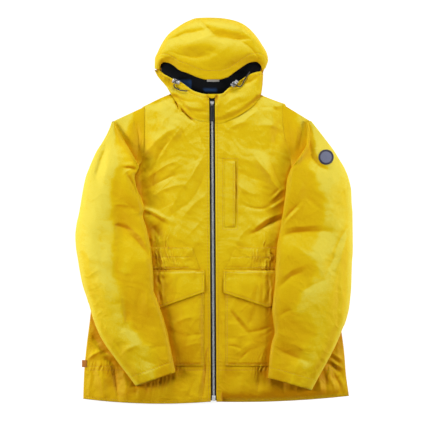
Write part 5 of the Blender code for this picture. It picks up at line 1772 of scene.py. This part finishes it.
def lay_locks():
    """Each cord lock: a ribbed barrel, its plunger, and the cord's dark strands crossing it."""
    for side, place in LOCKS.items():
        points, faces = turned(LOCK_PROFILE, LOCK_SIDES)
        barrel_faces = len(faces)
        parts = [points]
        t = np.linspace(-1, 1, 17)
        for way in (-1, 1):
            angle = way * t * STRAND_TURN
            across, up = STRAND_LIFT * np.sin(angle), STRAND_LIFT * np.cos(angle)
            path = np.stack([STRAND_REACH * t + STRAND_MIDDLE, across, up], axis=1)
            strand, own = tube_loop(path, STRAND_RADIUS, STRAND_SIDES)
            shift = sum(map(len, parts))
            faces.extend([index + shift for index in face] for face in own)
            parts.append(strand)
        mesh = mesh_of(f"lock_{side}", np.concatenate(parts) * MM, faces)
        move = Matrix.Translation(Vector((place["x"], place["y"], place["z"])) * MM)
        mesh.transform(move @ Matrix.Rotation(place["turn"], 4, "Z"))
        lock = new_object(f"lock_{side}", mesh, "root", "lock", "lock", "cord")
        for index in range(barrel_faces, len(mesh.polygons)):
            mesh.polygons[index].material_index = 1
        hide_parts(f"cord_lock_{side}")


def lay_cords():
    """The short free ends of the hood's drawcord, braided."""
    for side, route in CORDS.items():
        table = np.array(route[::-1], float)
        steps = np.linalg.norm(np.diff(table, axis=0), axis=1)
        keys = np.concatenate([[0.0], np.cumsum(steps)])
        share = np.linspace(0.0, keys[-1], round(keys[-1] / CORD_STEP) + 1)
        path = np.stack([smooth_through(keys, column, share) for column in table.T], axis=1)
        angles = np.linspace(0, 2 * math.pi, CORD_SIDES, endpoint=False)
        twist = 2 * math.pi * share / CORD_TWIST
        braid = np.sin(twist[:, None] + 2 * angles) * np.sin(twist[:, None] - 2 * angles)
        radius = CORD_RADIUS * (0.95 + 0.05 * np.abs(braid) ** 0.5)
        points, faces = tube_loop(path, radius, CORD_SIDES)
        name = f"hood_cord_{side}"
        mesh = mesh_of(f"{name}_braid", points * MM, faces)
        cord = new_object(f"{name}_braid", mesh, "root", "cord", "cord")
        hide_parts(name)


def stitch_mesh(name, runs):
    """Every stitch along these runs, each a short thread lying on its piece of cloth."""
    ends = np.array([-0.5, -0.38, 0.38, 0.5]) * STITCH
    thick = np.array([0.15, 1.0, 1.0, 0.15]) * THREAD
    points, faces = [], []
    for piece, line in runs:
        line = np.array(line, float)
        keys = np.concatenate([[0.0], np.cumsum(np.hypot(*np.diff(line, axis=0).T))])
        for at in np.arange(STITCH_PITCH / 2, keys[-1], STITCH_PITCH):
            first = [np.interp(at - 0.5, keys, column) for column in line.T]
            last = [np.interp(at + 0.5, keys, column) for column in line.T]
            place, out = layers.on(piece, (first[0] + last[0]) / 2, (first[1] + last[1]) / 2)
            way = Vector((last[0] - first[0], last[1] - first[1], 0))
            way = (way - out * way.dot(out)).normalized()
            across = out.cross(way)
            start = len(points)
            for end, half in zip(ends, thick):
                middle = place + (way * end + out * (0.12 - 0.012 * end * end)) * MM
                for step in range(THREAD_SIDES):
                    angle = 2 * math.pi * step / THREAD_SIDES
                    round_thread = across * math.cos(angle) + out * math.sin(angle)
                    points.append((middle + round_thread * half * MM)[:])
            faces.extend(ring_faces(len(ends), THREAD_SIDES, start))
    return new_object(name, mesh_of(name, points, faces), "root", "shell", "thread")


def net_run(piece, edge, distance, start=0.0, end=1.0):
    return piece, layers.nets[piece].line(edge, distance, start, end)


def level_run(piece, y, left, right):
    return piece, [(left, y), (right, y)]


def sew():
    """Topstitching along the zip, hems, casings, pockets, flaps, cuffs and hood."""
    body, pockets, rest = [], [], []
    for side, way in (("left", -1), ("right", 1)):
        front = f"front_{side}_cloth"
        body += [net_run(front, "b", EDGE_STITCH, 0.0, 0.9), net_run(front, "first", EDGE_STITCH)]
        for y, start in zip((HEM_STITCH_Y, HEM_STITCH_Y - HEM_STITCH_GAP), HEM_STITCH_STARTS):
            body.append(level_run(front, y, way * HEM_STITCH_END, way * start))
        for y in CASING_STITCH_YS:
            body.append(level_run(f"waist_casing_{side}_cloth", y, *(way * x for x in CASING_STITCH_X)))
        inner, zip_edge = ("b", "last") if side == "left" else ("a", "first")
        pocket, flap, collar = f"pocket_{side}_cloth", f"flap_{side}_cloth", f"collar_{side}_cloth"
        pockets += [
            net_run(pocket, inner, POCKET_STITCH, 0.0, 0.9),
            net_run(pocket, "first", LOW_STITCH),
            net_run(flap, "b", EDGE_STITCH),
            net_run(flap, "first", EDGE_STITCH, 0.0, 0.92),
            net_run(flap, "a", LOW_STITCH),
        ]
        rest += [
            net_run(f"upper_sleeve_{side}_cloth", "last", CUFF_HEM),
            net_run(collar, "b", COLLAR_STITCH),
            net_run(collar, zip_edge, EDGE_STITCH),
        ]
    left, right = WELT["left"] - 5, WELT["right"] + 7
    low, high = WELT["bottom"] - 6, WELT["top"] + 6
    box = [(left, low), (left, high), (right, high), (right, low), (left, low)]
    pockets += [("front_right_cloth", box), net_run("chest_welt_cloth", "b", POCKET_STITCH)]
    rest.append(net_run("hood_top_cloth", "a", BRIM_HEM))
    stitch_mesh("stitching_body", body)
    stitch_mesh("stitching_pockets", pockets)
    stitch_mesh("stitching_sleeves_and_hood", rest)


def soft_light(name, place, size, power):
    data = bpy.data.lights.new(name, "AREA")
    data.shape = "RECTANGLE"
    data.size, data.size_y = size
    data.energy = power
    light = put(name, data)
    light.location = place
    light.rotation_euler = (-Vector(place)).to_track_quat("-Z", "Y").to_euler()


def set_stage():
    """A white floor, soft light from both sides and past the hood, and the camera straight above."""
    scene = bpy.context.scene
    settings = scene.parka_stage
    scene.view_settings.view_transform = "Standard"
    mesh = bpy.data.meshes.new("floor")
    work = bmesh.new()
    bmesh.ops.create_grid(work, x_segments=1, y_segments=1, size=FLOOR_SIZE)
    work.to_mesh(mesh)
    work.free()
    floor = put("floor", mesh)
    floor.location.z = FLOOR_Z
    paper, _, shader, _ = new_material("floor_white_paper", Roughness=0.9, IOR=1.3)
    shader.inputs["Base Color"].default_value = (0.3, 0.3, 0.3, 1.0)
    shader.inputs["Emission Color"].default_value = (1.0, 1.0, 1.0, 1.0)
    shader.inputs["Emission Strength"].default_value = 0.9
    mesh.materials.append(paper)
    for name, place, size in LIGHTS:
        soft_light(f"light_{name}", place, size, getattr(settings, f"{name}_power"))
    world = bpy.data.worlds.new("studio")
    scene.world = world
    world.use_nodes = True
    tree = world.node_tree
    sky = tree.nodes["Background"]
    sky.inputs["Color"].default_value = (1.0, 1.0, 1.0, 1.0)
    # the room is dim overhead and bright all round, so level cloth keeps its full colour
    way = add_node(tree, "ShaderNodeTexCoord").outputs["Generated"]
    rise = add_node(tree, "ShaderNodeSeparateXYZ", {"Vector": way}).outputs["Z"]
    glow = ranged(tree, rise, 0.95, 0.25, 0.04 * settings.sky, settings.sky)
    seen = add_node(tree, "ShaderNodeLightPath").outputs["Is Camera Ray"]
    strength = add_node(tree, "ShaderNodeMath", {0: seen, 1: glow}, operation="MAXIMUM").outputs[0]
    tree.links.new(strength, sky.inputs["Strength"])
    data = bpy.data.cameras.new("camera")
    data.type = "ORTHO"
    data.ortho_scale = settings.view_width
    scene.camera = put("camera", data)
    scene.camera.location = CAMERA_PLACE


# Add-on


def operator(label, work):
    """An operator that does one step of the work, with that step's name and docstring."""

    def execute(self, context):
        work()
        return {"FINISHED"}

    parts = {
        "bl_idname": f"parka.{work.__name__}",
        "bl_label": label,
        "__doc__": work.__doc__,
        "bl_options": {"REGISTER"},
        "execute": execute,
    }
    return type(f"PARKA_OT_{work.__name__}", (bpy.types.Operator,), parts)


STEPS = [
    operator("Stage", set_stage),
    operator("Back", lay_back),
    operator("Lining", lay_lining),
    operator("Zip tapes", lay_tapes),
    operator("Fronts", lay_fronts),
    operator("Zip coil", lay_coil),
    operator("Slider", lay_slider),
    operator("Pull tab", lay_pull),
    operator("Waist casings", lay_casings),
    operator("Pockets", lay_pockets),
    operator("Side label", lay_side_label),
    operator("Sleeves", lay_sleeves),
    operator("Badge", lay_badge),
    operator("Hood front", lay_hood_front),
    operator("Hood crown", lay_hood_top),
    operator("Cord locks", lay_locks),
    operator("Cords", lay_cords),
    operator("Stitching", sew),
    # paints shade and light into the cloth's colour
    operator("Deepen folds", deepen_folds),
]


class PARKA_PT_panel(bpy.types.Panel):
    """Lists the parka's settings and steps."""

    bl_label = "Hooded parka"
    bl_idname = "PARKA_PT_panel"
    bl_space_type = "VIEW_3D"
    bl_region_type = "UI"
    bl_category = "Parka"

    def draw(self, context):
        for group in (context.scene.parka_cloth, context.scene.parka_colours, context.scene.parka_stage):
            box = self.layout.box()
            for name in group.__annotations__:
                box.prop(group, name)
        for step in STEPS:
            self.layout.operator(step.bl_idname)


GROUPS = {
    "parka_cloth": ParkaClothSettings,
    "parka_colours": ParkaColourSettings,
    "parka_stage": ParkaStageSettings,
}


def register():
    for cls in (*GROUPS.values(), *STEPS, PARKA_PT_panel):
        bpy.utils.register_class(cls)
    for name, group in GROUPS.items():
        setattr(bpy.types.Scene, name, PointerProperty(type=group))


def unregister():
    for name in GROUPS:
        delattr(bpy.types.Scene, name)
    for cls in (PARKA_PT_panel, *reversed(STEPS), *reversed(GROUPS.values())):
        bpy.utils.unregister_class(cls)


def main():
    register()
    for step in STEPS:
        name = step.bl_idname.split(".")[1]
        getattr(bpy.ops.parka, name)()


if __name__ == "__main__":
    main()
